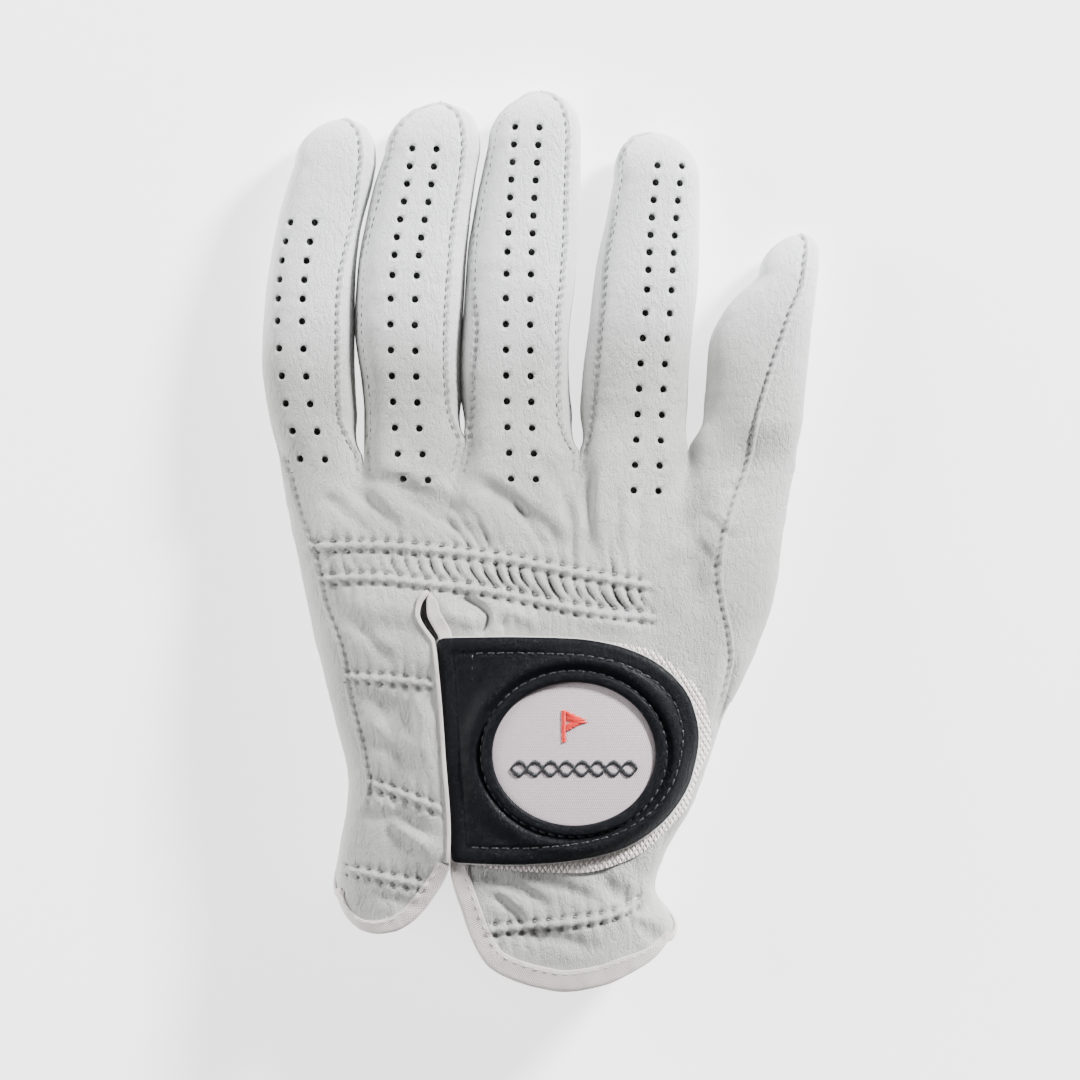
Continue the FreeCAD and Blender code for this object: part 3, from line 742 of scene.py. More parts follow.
@dataclass(frozen=True)
class Fold:
    """One soft fold: a ridge or valley along a line, fading out at its ends."""
    start: tuple[float, float]
    end: tuple[float, float]
    height: float
    width: float
    bow: float = 0.0

    def relief(self, x: Array, y: Array) -> Array:
        """Bell across the line with a shallow trough beside it, times a smooth fade along it."""
        ax, ay = self.start
        bx, by = self.end
        length = math.hypot(bx - ax, by - ay)
        tx, ty = (bx - ax) / length, (by - ay) / length
        s = (x - ax) * tx + (y - ay) * ty
        t = np.clip(s / length, -0.2, 1.2)
        d = (x - ax) * -ty + (y - ay) * tx - self.bow * (1 - (2 * t - 1) ** 2)
        fade = ramp(-0.02, 0.25, t) * (1 - ramp(0.7, 1.02, t))
        trough = bell(d - 1.9 * self.width, self.width * 1.2)
        return self.height * fade * (bell(d, self.width) - 0.45 * trough)


@dataclass
class HandRelief:
    """All that raises or sinks the leather on the back of the hand."""
    knuckle_upper: Band = Band(Track(((-46, 22.4), (-30, 22.9), (-17, 22.0), (-6, 20.9), (3, 19.6),
                                      (13, 17.6), (20, 16.2), (36, 13.3))), start=-43.8, end=34.4, pull=1.0)
    knuckle_lower: Band = Band(Track(((-44, 15.0), (-30, 15.5), (-17, 14.2), (-5, 12.9), (8, 10.4),
                                      (18, 8.3), (37, 6.1))), start=-41.4, end=35.2, pull=1.1)
    flap_upper: Band = Band(Track(((-38, -7.2), (-26, -7.8), (-14, -9.1))), start=-35.6, end=-15.0,
                            pull=0.7, pitch=2.9)
    flap_middle: Band = Band(Track(((-34, -30.4), (-24, -33.6), (-12, -38.2))), start=-30.0, end=-13.4,
                             pull=1.0, pitch=2.9)
    flap_lower: Band = Band(Track(((-38, -51.0), (-26, -53.4), (-16, -55.4))), start=-35.4, end=-16.8,
                            pull=0.9, pitch=2.9)
    cuff: Band = Band(Track(((-4, -65.5), (13, -64.0), (24, -62.5), (36, -57.0))), start=-3.0, end=32.5,
                      pull=1.0)
    folds: tuple[Fold, ...] = tuple(Fold(*row) for row in (
        ((-31, 38), (2, 19), -1.05, 2.0, 2.6), ((-24.5, 33.5), (-6, 22), -0.6, 1.1, 1.2),
        ((-8, 38), (18, 18), -0.95, 1.7, 1.8), ((3, 33), (12, 20), -0.6, 1.0, -0.6),
        ((21, 41), (21.5, 17), -0.85, 1.4, -1.0), ((14, 36), (17, 19), -0.6, 1.0, 0.8),
        ((27, 36), (26, 17), -0.45, 1.2, 0.5), ((33, 32), (31, 15), -0.3, 1.4),
        ((-42, 34), (-30, 23), -0.45, 1.6, 1.0), ((-36, 36), (-22, 24), -0.5, 1.4, 0.8),
        ((-14, 30), (0, 22), 0.5, 1.6, 1.0), ((6, 40), (14, 30), 0.4, 1.6),
        ((42.5, 38), (46, 4), -1.2, 4.0, 1.5), ((40, 18), (54, 30), 0.6, 3.0),
        ((46, 30), (54, 22), -0.35, 0.9), ((45, 24), (51, 15), -0.35, 1.0),
        ((50, 34), (62, 37), -0.3, 1.2), ((-34, -12), (-17, -22), -0.45, 2.0, 1.6),
        ((-33, -20), (-15, -29), -0.45, 1.8, -1.6), ((-19, -11), (-17, -32), 0.7, 1.8, 0.5),
        ((-29, -13), (-22, -30), -0.3, 1.5, 1.0), ((-34, -39), (-14, -46), -0.7, 1.7, 1.6),
        ((-30, -36), (-14, -50), 0.5, 1.8), ((-27, -42), (-16, -50), -0.3, 1.2, -0.8),
        ((-38, 6), (-18, 3), -0.5, 2.6, -1.8), ((-34, 4), (-24, -6), -0.4, 1.4),
        ((-30, -58), (-16, -62), -0.35, 1.4), ((-5, -54), (12, -62), -0.7, 1.5, 1.2),
        ((4, -54), (24, -61), -0.55, 1.6, 0.8), ((-3, -58), (6, -66), -0.6, 1.2, 0.8),
        ((2, -67), (24, -72), -0.6, 1.8, 1.0), ((22, -53), (37, -62), -0.7, 2.0, -2.0),
        ((30, -64), (38, -70), -0.4, 1.4), ((-9.5, 10), (-2.2, 5.2), -0.9, 0.8, 0.9),
        ((-2.6, 7.2), (-5.2, 0.9), -0.8, 0.7, 0.9), ((-14, 7.0), (-4, 3.8), 0.75, 2.3),
        ((-2, 7), (10, 2.5), 0.7, 2.0, 1.2), ((2, 8), (0, 2), -0.4, 0.9),
        ((18, 4.5), (34, 2), 0.5, 1.8, 0.8), ((48, -22), (54, -2), -0.6, 2.0, -1.6),
        ((38, -49), (46, -30), -0.6, 2.0, 1.6),
    ))
    fold_depth: float = 1.35

    def bands(self) -> tuple[Band, ...]:
        """Every double row."""
        return (self.knuckle_upper, self.knuckle_lower, self.flap_upper, self.flap_middle, self.flap_lower,
                self.cuff)

    def between(self, x: Array, y: Array) -> Array:
        """Slanting puckers between the two knuckle bands, stronger towards the thumb."""
        high = self.knuckle_upper.line(x) - self.knuckle_upper.gap
        low = self.knuckle_lower.line(x)
        t = np.clip((y - low) / np.maximum(high - low, 0.5), 0, 1)
        hold = np.sin(np.pi * t) ** 0.6 * self.knuckle_lower.inside(x)
        lean = mix(0.22, 0.62, ramp(-34, -6, x))
        bend = lean * (y - low) + 0.7 * np.sin(np.pi * t)
        phase = self.knuckle_lower.phase(x + bend) + 0.07 * lattice(x / 5.0, y / 3.0, 91)
        uneven = 0.85 + 0.45 * lattice(x / 3.9, y / 9.0, 77)
        strength = mix(0.45, 1.0, ramp(-24, 2, x)) * (1 - 0.5 * ramp(26, 35, x))
        return hold * strength * uneven * (0.30 * np.cos(2 * np.pi * phase) - 0.95 * furrow(phase, 0.10))

    def __call__(self, x: Array, y: Array) -> Array:
        """Height of the relief at plan places."""
        x, y = np.broadcast_arrays(x, y)
        total = self.between(x, y)
        for number, band in enumerate(self.bands()):
            near = np.abs(y - band.line(x)) < 24
            total = total + np.where(near, band.relief(x, y, 11 + 7 * number), 0)
        for fold in self.folds:
            total = total + self.fold_depth * fold.relief(x, y)
        soft = 0.22 * clouds(x / 13.0, y / 17.0, 3) + 0.06 * clouds(x / 3.2, y / 4.4, 8)
        return total + self.fan(x, y) + soft

    def fan(self, x: Array, y: Array) -> Array:
        """Long gathers above the upper knuckle band, under the middle and index fingers.

        They start at every second bead, spread as they climb, and die away over about 16 mm.
        """
        d = y - self.knuckle_upper.line(x)
        hold = np.where(d > 0, np.exp(-np.maximum(d, 0) / 9.0), 0) * (1 - np.exp(-np.maximum(d, 0) / 1.5))
        climb = np.clip(d, 0, 22)
        spread = x + mix(0.75, 0.10, ramp(-16, 24, x)) * climb + 0.8 * lattice(x / 9.0, y / 7.0, 23)
        phase = self.knuckle_upper.phase(spread)
        every = 0.5 + 0.75 * lattice(np.floor(phase) * 0.73, 0 * phase, 29)
        length = np.exp(-climb / mix(4.0, 9.0, np.clip(every, 0, 1)))
        across = ramp(-46, -30, x) * (1 - ramp(24, 34, x)) * mix(0.55, 1.0, ramp(-20, 0, x))
        width = 0.11 + 0.012 * climb
        gather = 0.22 * np.cos(2 * np.pi * phase) - 0.62 * every * furrow(phase, width)
        return hold * across * length * 1.5 * gather

    def shade(self, x: Array, y: Array) -> Array:
        """Painted shade in the needle pits and in the deep creases between puckers."""
        x, y = np.broadcast_arrays(x, y)
        pits = sum(band.shade(x, y) for band in self.bands())
        valleys = sum(np.minimum(fold.relief(x, y), 0) for fold in self.folds)
        deep = self.between(x, y) + self.fan(x, y) + valleys * 0.35
        return np.clip(pits * 0.95 + 0.75 * ramp(0.12, 0.85, -deep), 0, 1)


def seam_edge(distance: Array, along: Array, seed: int, pitch: float = 2.0) -> Array:
    """Relief beside a sewn edge: a rolled lip, then a groove pinched at each stitch."""
    beat = np.cos(2 * np.pi * (along / pitch + 0.15 * lattice(along / 9.0, 0 * along, seed)))
    lip = (0.42 + 0.12 * beat) * bell(distance - 0.66, 0.46)
    groove = -(0.36 - 0.18 * beat) * bell(distance - 1.5, 0.42)
    return lip + groove - 0.25 * bell(distance, 0.28)


def seam_shade(distance: Array, along: Array, seed: int, pitch: float = 2.0) -> Array:
    """Painted shade in the needle pits of a sewn edge, in step with its relief."""
    beat = -np.cos(2 * np.pi * (along / pitch + 0.15 * lattice(along / 9.0, 0 * along, seed)))
    return bell(distance - 1.45, 0.36) * (0.25 + 0.75 * ramp(-0.2, 0.8, beat)) * 0.9


# ------------------------------------------------------------------------------ shader graph
Number = Union[float, "Value"]


@dataclass(frozen=True)
class Value:
    """A socket that can be used in Python expressions; each operation adds a Math node."""
    graph: "Graph"
    socket: bpy.types.NodeSocket

    def _math(self, operation: str, *others: Number, swap: bool = False) -> "Value":
        """Adds one Math node."""
        values = [self, *others]
        if swap:
            values = values[::-1]
        return self.graph.add("ShaderNodeMath", {"operation": operation}, dict(enumerate(values)))

    def __add__(self, other: Number) -> "Value":
        """Sum."""
        return self._math("ADD", other)

    def __sub__(self, other: Number) -> "Value":
        """Difference."""
        return self._math("SUBTRACT", other)

    def __mul__(self, other: Number) -> "Value":
        """Product."""
        return self._math("MULTIPLY", other)

    def __radd__(self, other: Number) -> "Value":
        """Sum with a plain number first."""
        return self._math("ADD", other, swap=True)

    def __rsub__(self, other: Number) -> "Value":
        """A plain number less this."""
        return self._math("SUBTRACT", other, swap=True)

    def __rmul__(self, other: Number) -> "Value":
        """Product with a plain number first."""
        return self._math("MULTIPLY", other, swap=True)

    def sin(self) -> "Value":
        """Sine of radians."""
        return self._math("SINE")

    def size(self) -> "Value":
        """Absolute value."""
        return self._math("ABSOLUTE")

    def least(self, other: Number) -> "Value":
        """The smaller of two."""
        return self._math("MINIMUM", other)

    def step(self, low: float, high: float) -> "Value":
        """Smooth step between two values."""
        return self.graph.add("ShaderNodeMapRange", {"interpolation_type": "SMOOTHSTEP"},
                              {0: self, 1: low, 2: high, 3: 0.0, 4: 1.0})


Rgb = tuple[float, float, float]


class Graph:
    """One material's node tree."""

    def __init__(self, name: str) -> None:
        """Starts an empty tree with a Principled shader and an output."""
        self.material = bpy.data.materials.new(name)
        self.material.use_nodes = True
        self.tree = self.material.node_tree
        self.tree.nodes.clear()
        output = self.tree.nodes.new("ShaderNodeOutputMaterial")
        self.shader = self.tree.nodes.new("ShaderNodeBsdfPrincipled")
        self.tree.links.new(self.shader.outputs[0], output.inputs[0])

    def add(self, kind: str, settings: Optional[dict] = None, inputs: Optional[dict] = None,
            output: Union[int, str] = 0) -> Value:
        """Adds a node.

        Args:
            kind: node type.
            settings: attributes that are set first.
            inputs: values or links by socket name or number.
            output: socket that is returned.

        Returns:
            The chosen output.
        """
        node = self.tree.nodes.new(kind)
        for key, value in (settings or {}).items():
            setattr(node, key, value)
        for key, value in (inputs or {}).items():
            self.feed(node.inputs[key], value)
        return Value(self, node.outputs[output])

    def feed(self, socket: bpy.types.NodeSocket, value: Union[Number, Rgb]) -> None:
        """Sets or links one input."""
        if isinstance(value, Value):
            self.tree.links.new(value.socket, socket)
        elif isinstance(value, tuple) and len(value) == 3 and socket.type == "RGBA":
            socket.default_value = (*value, 1.0)
        else:
            socket.default_value = value

    def set(self, **values: Union[Number, Rgb]) -> None:
        """Sets Principled inputs; underscores in names stand for spaces."""
        for key, value in values.items():
            self.feed(self.shader.inputs[key.replace("_", " ")], value)

    def place(self) -> Value:
        """Object coordinates."""
        return self.add("ShaderNodeTexCoord", output="Object")

    def map(self) -> Value:
        """The piece's own UV map, in millimetres."""
        return self.add("ShaderNodeUVMap", {"uv_map": "UVMap"})

    def axis(self, vector: Value, which: int) -> Value:
        """One component of a vector."""
        return self.add("ShaderNodeSeparateXYZ", None, {0: vector}, which)

    def noise(self, vector: Value, scale: float, detail: float = 3.0, rough: float = 0.5) -> Value:
        """Noise from 0 to 1."""
        return self.add("ShaderNodeTexNoise", None, {"Vector": vector, "Scale": scale, "Detail": detail,
                                                     "Roughness": rough})

    def cells(self, vector: Value, scale: float) -> Value:
        """Distance to the edges of Voronoi cells."""
        return self.add("ShaderNodeTexVoronoi", {"feature": "DISTANCE_TO_EDGE"},
                        {"Vector": vector, "Scale": scale})

    def blend(self, share: Number, a: Union[Value, Rgb], b: Union[Value, Rgb]) -> Value:
        """Mixes two colours."""
        return self.add("ShaderNodeMix", {"data_type": "RGBA"}, {0: share, 6: a, 7: b}, 2)

    def bump(self, height: Value, distance: float, strength: float = 1.0) -> None:
        """Sends a height through a Bump node to the normal."""
        inputs = {"Strength": strength, "Distance": distance, "Height": height}
        self.set(Normal=self.add("ShaderNodeBump", None, inputs))


@dataclass(frozen=True)
class Finish:
    """A material's name, its main colour and its second one, which on leather is a painted shade colour."""
    name: str
    colour: Rgb
    shade: Rgb


@dataclass(frozen=True)
class Leather(Finish):
    """Dressed sheepskin or calf: fine pores and creases over soft clouds of colour, plus painted shade."""
    roughness: float = 0.46
    pore: float = 2300.0
    depth: float = 0.00034
    sheen: float = 0.25
    crease: float = 0.5
    # strength of the painted shade in needle pits and creases
    painted_shade: float = 0.9
    specular: float = 0.42

    def material(self) -> bpy.types.Material:
        """Builds it: cell edges and noise for the pores, stretched noise for hair creases."""
        g = Graph(self.name)
        place = g.place()
        # painted shade: the leather turns to its main colour from 52 to 90 mm up, so the fingertips are
        # painted lighter than the hand
        upper = g.axis(place, 1).step(0.052, 0.090)
        pores = g.cells(place, self.pore).step(0.0, 0.16)
        fine = g.noise(place, self.pore * 0.55, 4.0, 0.6)
        warp = g.add("ShaderNodeMapping", {"vector_type": "POINT"},
                     {"Vector": place, "Scale": (1.0, 0.45, 1.0), "Rotation": (0.0, 0.0, 0.5)})
        hair = (g.noise(warp, 420.0, 5.0, 0.62) - 0.5).size().step(0.0, 0.09)
        cloud = g.noise(place, 45.0, 3.0)
        worn = g.noise(place, 160.0, 4.0)
        # share of the second colour: clouds and pores vary the tone at random; the rest is painted shade
        # that greys the whole hand
        mottle_and_painted_shade = (cloud.step(0.3, 0.75) * 0.40 + (1.0 - pores) * 0.15 + 0.75) * (1.0 - upper * 0.85)
        painted_shade_tone = g.blend(mottle_and_painted_shade, self.colour, self.shade)
        # painted shade: the shade attribute darkens needle pits and creases towards near black
        painted_shade = g.add("ShaderNodeAttribute", {"attribute_name": "shade"}, None, "Fac")
        g.set(Base_Color=g.blend(painted_shade * self.painted_shade, painted_shade_tone, (0.045, 0.050, 0.050)),
              Roughness=self.roughness + 0.10 * worn - 0.05 * cloud, Specular_IOR_Level=self.specular,
              Sheen_Weight=self.sheen, Sheen_Roughness=0.45)
        height = 0.45 * pores + 0.35 * fine + self.crease * hair
        g.bump(height, self.depth, 0.7)
        return g.material


@dataclass(frozen=True)
class Tape(Finish):
    """Woven binding or elastic: a plain weave over the piece's own map."""
    pitch: float = 0.55
    depth: float = 0.00018
    rib: float = 0.0

    def material(self) -> bpy.types.Material:
        """Builds it: product of two sine rows gives over and under threads."""
        g = Graph(self.name)
        uv = g.map()
        u, v = g.axis(uv, 0), g.axis(uv, 1)
        turn = 2 * math.pi / self.pitch
        warp = (u * turn).sin()
        weft = (v * turn).sin()
        weave = (warp * weft) * 0.5 + 0.5
        ribs = (u * (turn / 3.0)).sin() * self.rib
        fuzz = g.noise(g.place(), 1500.0, 4.0, 0.6)
        stain = g.noise(g.place(), 120.0, 3.0)
        g.set(Base_Color=g.blend(weave * 0.35 + stain.step(0.35, 0.7) * 0.5, self.colour, self.shade),
              Roughness=0.78 + 0.12 * fuzz, Sheen_Weight=0.35, Sheen_Roughness=0.5, Specular_IOR_Level=0.25)
        g.bump(weave + ribs + 0.5 * fuzz, self.depth, 0.8)
        return g.material


@dataclass(frozen=True)
class Thread(Finish):
    """Sewing thread: fine fibres, from noise."""
    roughness: float = 0.55

    def material(self) -> bpy.types.Material:
        """Builds it: fine fibres in colour and bump."""
        g = Graph(self.name)
        fibre = g.noise(g.place(), 3500.0, 3.0, 0.7)
        g.set(Base_Color=g.blend(fibre.step(0.3, 0.7), self.shade, self.colour),
              Roughness=self.roughness + 0.2 * fibre, Sheen_Weight=0.2)
        g.bump(fibre, 0.00008, 0.6)
        return g.material


@dataclass(frozen=True)
class Knit(Finish):
    """Loop knit or hook tape: small diamonds in slanting rows."""
    pitch: float = 1.25
    depth: float = 0.0005

    def material(self) -> bpy.types.Material:
        """Builds it: two crossed slanting sine rows make diamonds, noise makes the fibres."""
        g = Graph(self.name)
        uv = g.map()
        u, v = g.axis(uv, 0), g.axis(uv, 1)
        turn = math.pi / self.pitch
        one = ((u + v * 0.6) * turn).sin().size()
        two = ((u - v * 0.6) * turn).sin().size()
        loops = one.least(two)
        fuzz = g.noise(g.place(), 2200.0, 4.0, 0.7)
        g.set(Base_Color=g.blend(loops.step(0.0, 0.5), self.shade, self.colour),
              Roughness=0.85 + 0.1 * fuzz, Sheen_Weight=0.4, Sheen_Roughness=0.5, Specular_IOR_Level=0.2)
        g.bump(loops + 0.35 * fuzz, self.depth, 0.9)
        return g.material


@dataclass(frozen=True)
class Satin(Finish):
    """Woven badge cloth: close slanting ribs with a soft shine."""

    def material(self) -> bpy.types.Material:
        """Builds it: slanting sine ribs, broken by noise."""
        g = Graph(self.name)
        place = g.place()
        x, y = g.axis(place, 0), g.axis(place, 1)
        ribs = ((x * 0.94 + y * 0.34) * (2 * math.pi / 0.00042)).sin() * 0.5 + 0.5
        cross = (y * (2 * math.pi / 0.0007)).sin() * 0.5 + 0.5
        fuzz = g.noise(place, 1300.0, 4.0, 0.6)
        g.set(Base_Color=g.blend(ribs * 0.4 + fuzz.step(0.35, 0.7) * 0.4, self.colour, self.shade),
              Roughness=0.42 + 0.2 * fuzz, Sheen_Weight=0.4, Sheen_Roughness=0.35, Specular_IOR_Level=0.5)
        g.bump(ribs * 0.7 + cross * 0.3 + fuzz * 0.3, 0.00012, 0.6)
        return g.material


class Finishes:
    """Every material of the glove, one of each."""

    def __init__(self) -> None:
        """Builds them all."""
        # each leather's second colour is painted shade: it greys the hand, while the fingertips keep the
        # main colour
        self.white = Leather("white_leather", (0.90, 0.92, 0.915), (0.39, 0.39, 0.375),
                             crease=0.8).material()
        self.palm = Leather("palm_leather", (0.88, 0.90, 0.895), (0.41, 0.41, 0.395), crease=0.8).material()
        self.side = Leather("side_leather", (0.86, 0.88, 0.87), (0.42, 0.42, 0.41)).material()
        self.black = Leather("black_leather", (0.0022, 0.0026, 0.0038), (0.0035, 0.0042, 0.006),
                             roughness=0.34, pore=2200.0, depth=0.00016, sheen=0.0, crease=0.4, painted_shade=0.0,
                             specular=0.09).material()
        self.binding = Tape("binding_tape", (0.66, 0.61, 0.595), (0.52, 0.47, 0.455)).material()
        self.elastic = Tape("elastic_web", (0.78, 0.77, 0.74), (0.62, 0.61, 0.58), pitch=0.8, depth=0.0003,
                            rib=0.6).material()
        self.white_thread = Thread("pale_thread", (0.30, 0.33, 0.32), (0.16, 0.18, 0.175)).material()
        self.seam_thread = Thread("seam_thread", (0.15, 0.17, 0.165), (0.07, 0.08, 0.078)).material()
        self.pale_thread = Thread("tape_thread", (0.66, 0.63, 0.62), (0.48, 0.45, 0.44)).material()
        self.black_thread = Thread("black_thread", (0.012, 0.013, 0.018), (0.003, 0.0035, 0.005),
                                   roughness=0.22).material()
        self.knit = Knit("loop_knit", (0.80, 0.74, 0.71), (0.50, 0.43, 0.40)).material()
        self.hook = Knit("hook_tape", (0.76, 0.75, 0.73), (0.5, 0.49, 0.47), pitch=0.9,
                         depth=0.0006).material()
        self.lining = Tape("tab_lining", (0.78, 0.76, 0.74), (0.66, 0.64, 0.62), pitch=0.4).material()
        self.roundel = Satin("woven_roundel", (0.56, 0.485, 0.51), (0.44, 0.37, 0.395)).material()
        self.red = Thread("red_embroidery", (0.85, 0.015, 0.01), (0.55, 0.008, 0.006),
                          roughness=0.4).material()


# ------------------------------------------------------------------------------ sewing the pieces
def finish_piece(obj: bpy.types.Object, nodes: Sequence[str] = (), body: str = "hand",
                 zone: Optional[tuple[str, Array, Array]] = None) -> None:
    """Attaches a piece to its body, or bakes it in place if it has a zone; hides the nodes it stands for.

    Args:
        obj: the mesh object.
        nodes: CAD nodes that it replaces.
        body: body that it rides on.
        zone: second body with the start and end of a bending zone, in millimetres; only whether it is given
            is read.
    """
    if zone is None:
        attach(obj, body)
    else:
        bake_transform(obj)
    if nodes:
        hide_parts(*nodes)
    LOG.info("%s: %d points", obj.name, len(obj.data.vertices))


def joined(points: Array, edge: Array, side: int) -> Array:
    """Draws a side wall's upper edge onto the sewn edge of the back, easing over a few columns.

    Args:
        points: grid of the wall.
        edge: displaced edge points of the back, in rising y.
        side: -1 left, where the upper edge is the last column, or 1 right, where it is the first.

    Returns:
        The moved grid.
    """
    column = 0 if side > 0 else points.shape[1] - 1
    y = points[:, column, 1]
    want = np.stack([np.interp(y, edge[:, 1], edge[:, k]) for k in range(3)], axis=1)
    want[:, 1] = y
    pull = np.exp(-np.abs(np.arange(points.shape[1]) - column) / 1.6)
    return points + (want - points[:, column])[:, None] * pull[None, :, None]


@dataclass
class DigitSewing:
    """Sews one digit's panels in two lengths, one across each joint."""
    digit: Digit
    hand: HandForm
    relief: HandRelief
    finishes: Finishes
    hole_gap: float = 5.7
    edges: dict[int, Array] = field(default_factory=dict)

    def zone(self, piece: str) -> tuple[str, str, tuple[float, float, float], tuple[float, float, float]]:
        """Bodies and bending zone of one length."""
        d = self.digit
        base, tip = d.name + "_base", d.name + "_end"
        first, second = ("hand", base) if piece == "base" else (base, tip)
        low, high = d.knuckle_zone if piece == "base" else d.middle_zone
        low, high = (low, min(high, d.cut() - 0.2)) if piece == "base" else (max(low, d.cut() + 0.3), high)
        return first, second, (0.0, low, 8.5), (0.0, high, 8.5)

    def finish(self, piece: str, obj: bpy.types.Object, nodes: Sequence[str] = ()) -> None:
        """Finishes a mesh of one length, baked in place; the bending zone across that length's joint goes
        along unused.
        """
        first, second, start, end = self.zone(piece)
        finish_piece(obj, nodes, first, (second, start, end))

    def own_relief(self, grid: Array, distances: Array, seams: tuple[bool, bool], seed: int) -> Array:
        """Relief of the back: the hand's folds low down, creases over the joints, and the sewn edges."""
        x, y = grid[..., 0], grid[..., 1]
        d = self.digit
        fade = 1 - ramp(RELIEF_START_Y, RELIEF_LIMIT_Y, y)
        total = self.relief(x, np.minimum(y, RELIEF_LIMIT_Y)) * fade
        for joint in (d.knuckle + 3, d.middle_joint):
            crease = lattice(x / 7.0, (y - joint) / 1.9, seed + int(joint)) * bell(y - joint, 7.0)
            total = total + 0.085 * crease
        own = 0.10 * clouds(x / 8.0, y / 11.0, seed) + 0.025 * clouds(x / 2.2, y / 3.5, seed + 1)
        total = total + (1 - fade) * own
        for side, sewn in enumerate(seams):
            if sewn:
                crotch = (d.left_crotch, d.right_crotch)[side]
                hold = self.outer_hold(y) if crotch is None else ramp(crotch - 0.5, crotch + 3.0, y)
                total = total + hold * seam_edge(distances[side], y, seed + side)
        return total

    def outer_hold(self, y: Array) -> Array:
        """1 where the outer seam lies in sight, 0 where it has turned under."""
        return 1 - ramp(self.digit.outer_seam_end - 5, self.digit.outer_seam_end, y)

    def distances(self, grid: Array) -> Array:
        """Distance over the surface from each point to its row's two ends."""
        steps = np.linalg.norm(np.diff(grid, axis=1), axis=2)
        run = np.concatenate([np.zeros((len(grid), 1)), np.cumsum(steps, axis=1)], axis=1)
        return np.stack([run, run[:, -1:] - run])

    def hole_centres(self) -> Array:
        """Two holes a row; the rows close up gently towards the tip."""
        d = self.digit
        if d.holes is None:
            return np.zeros((0, 2))
        y = d.hole_rows_y()
        centre = d.holes(y)
        lean = 0.15
        left = np.stack([centre - self.hole_gap / 2, y + lean / 2], axis=1)
        right = np.stack([centre + self.hole_gap / 2, y - lean / 2], axis=1)
        return np.concatenate([left, right])

    def sew_back(self, piece: str, rows: Array) -> None:
        """The perforated back, with the side it folds over."""
        d = self.digit
        seed = 31 + sum(map(ord, d.name))
        columns = np.linspace(0, 1, 47)
        grid = d.back(self.hand, rows, columns)
        seams = (d.left_cover is not Cover.BACK, d.right_cover is not Cover.BACK)
        gaps = self.distances(grid)
        fade = 1 - ramp(RELIEF_START_Y, RELIEF_LIMIT_Y, grid[..., 1])
        # painted shade of the hand's creases and needle pits, fading out along the digit, and of the seam
        # pits
        painted_shade_tone = self.relief.shade(grid[..., 0], np.minimum(grid[..., 1], RELIEF_LIMIT_Y)) * fade
        for side, sewn in enumerate(seams):
            if sewn:
                outer = (d.left_crotch, d.right_crotch)[side] is None
                pits = seam_shade(gaps[side], grid[..., 1], seed + side)
                painted_shade_tone = np.maximum(painted_shade_tone, pits * (self.outer_hold(grid[..., 1]) if outer else 1.0))
        patch = Patch(grid, shade=painted_shade_tone).raised(self.own_relief(grid, gaps, seams, seed))
        self.edges = {-1: patch.points[:, 0], 1: patch.points[:, -1]}
        data = MeshData()
        punched(data, patch, self.hole_centres(), HOLE_RADIUS, HOLE_DEPTH)
        for side, cover in ((-1, d.left_cover), (1, d.right_cover)):
            if cover is Cover.BACK:
                self.add_wall(data, side, rows, seed)
        obj = data.build(f"{d.name}_{piece}_back_leather", self.finishes.white, MERGE)
        node = f"{d.name}_{piece}_{'inner' if d.name == 'thumb' else 'back'}"
        self.finish(piece, obj, [node])

    def add_wall(self, data: MeshData, side: int, rows: Array, seed: int) -> None:
        """Adds one side's grid to a mesh."""
        start = self.digit.wall_start(side)
        own = np.concatenate([[start], rows[rows > start + 0.05]]) if rows[0] < start else rows
        if own[-1] <= start + 0.05:
            return
        grid = self.digit.wall(self.hand, side, own, np.linspace(0, 1, 25))
        height = 0.07 * clouds(grid[..., 2] / 5.0 + side, grid[..., 1] / 8.0, seed + 3)
        height = height * np.sin(np.pi * np.linspace(0, 1, 25))[None, :]
        data.add_patch(Patch(joined(Patch(grid).raised(height).points, self.edges[side], side)))

    def sew_sides(self, piece: str, rows: Array) -> None:
        """The fourchettes."""
        d = self.digit
        data = MeshData()
        for side, cover in ((-1, d.left_cover), (1, d.right_cover)):
            if cover is Cover.FOURCHETTE:
                self.add_wall(data, side, rows, 71 + side)
        if data.count:
            obj = data.build(f"{d.name}_{piece}_side_strips", self.finishes.side, MERGE)
            self.finish(piece, obj, [f"{d.name}_{piece}_fourchettes"])

    def sew_palm(self, piece: str, rows: Array) -> None:
        """The palm side, with the side it wraps."""
        d = self.digit
        data = MeshData()
        grid = d.palm(self.hand, rows, np.linspace(0, 1, 41))
        x, y = grid[..., 0], grid[..., 1]
        edge = self.distances(grid)
        creases = sum(bell(y - joint + 0.3 * np.sin(x / 3.0), 0.9) for joint in (d.knuckle, d.middle_joint))
        welt = 0.25 * bell(edge.min(axis=0) - 0.7, 0.5)
        height = 0.10 * clouds(x / 6.0, y / 8.0, 57) - 0.35 * creases + welt
        hold = ramp(SPLIT_Y, SPLIT_Y + 4, y) * ramp(0, 1.2, edge.min(axis=0))
        data.add_patch(Patch(grid).raised(height * hold))
        for side, cover in ((-1, d.left_cover), (1, d.right_cover)):
            if cover is Cover.PALM:
                self.add_wall(data, side, rows, 19)
        obj = data.build(f"{d.name}_{piece}_palm_leather", self.finishes.palm, MERGE)
        node = f"{d.name}_{piece}_{'outer' if d.name == 'thumb' else 'palm'}"
        self.finish(piece, obj, [node])

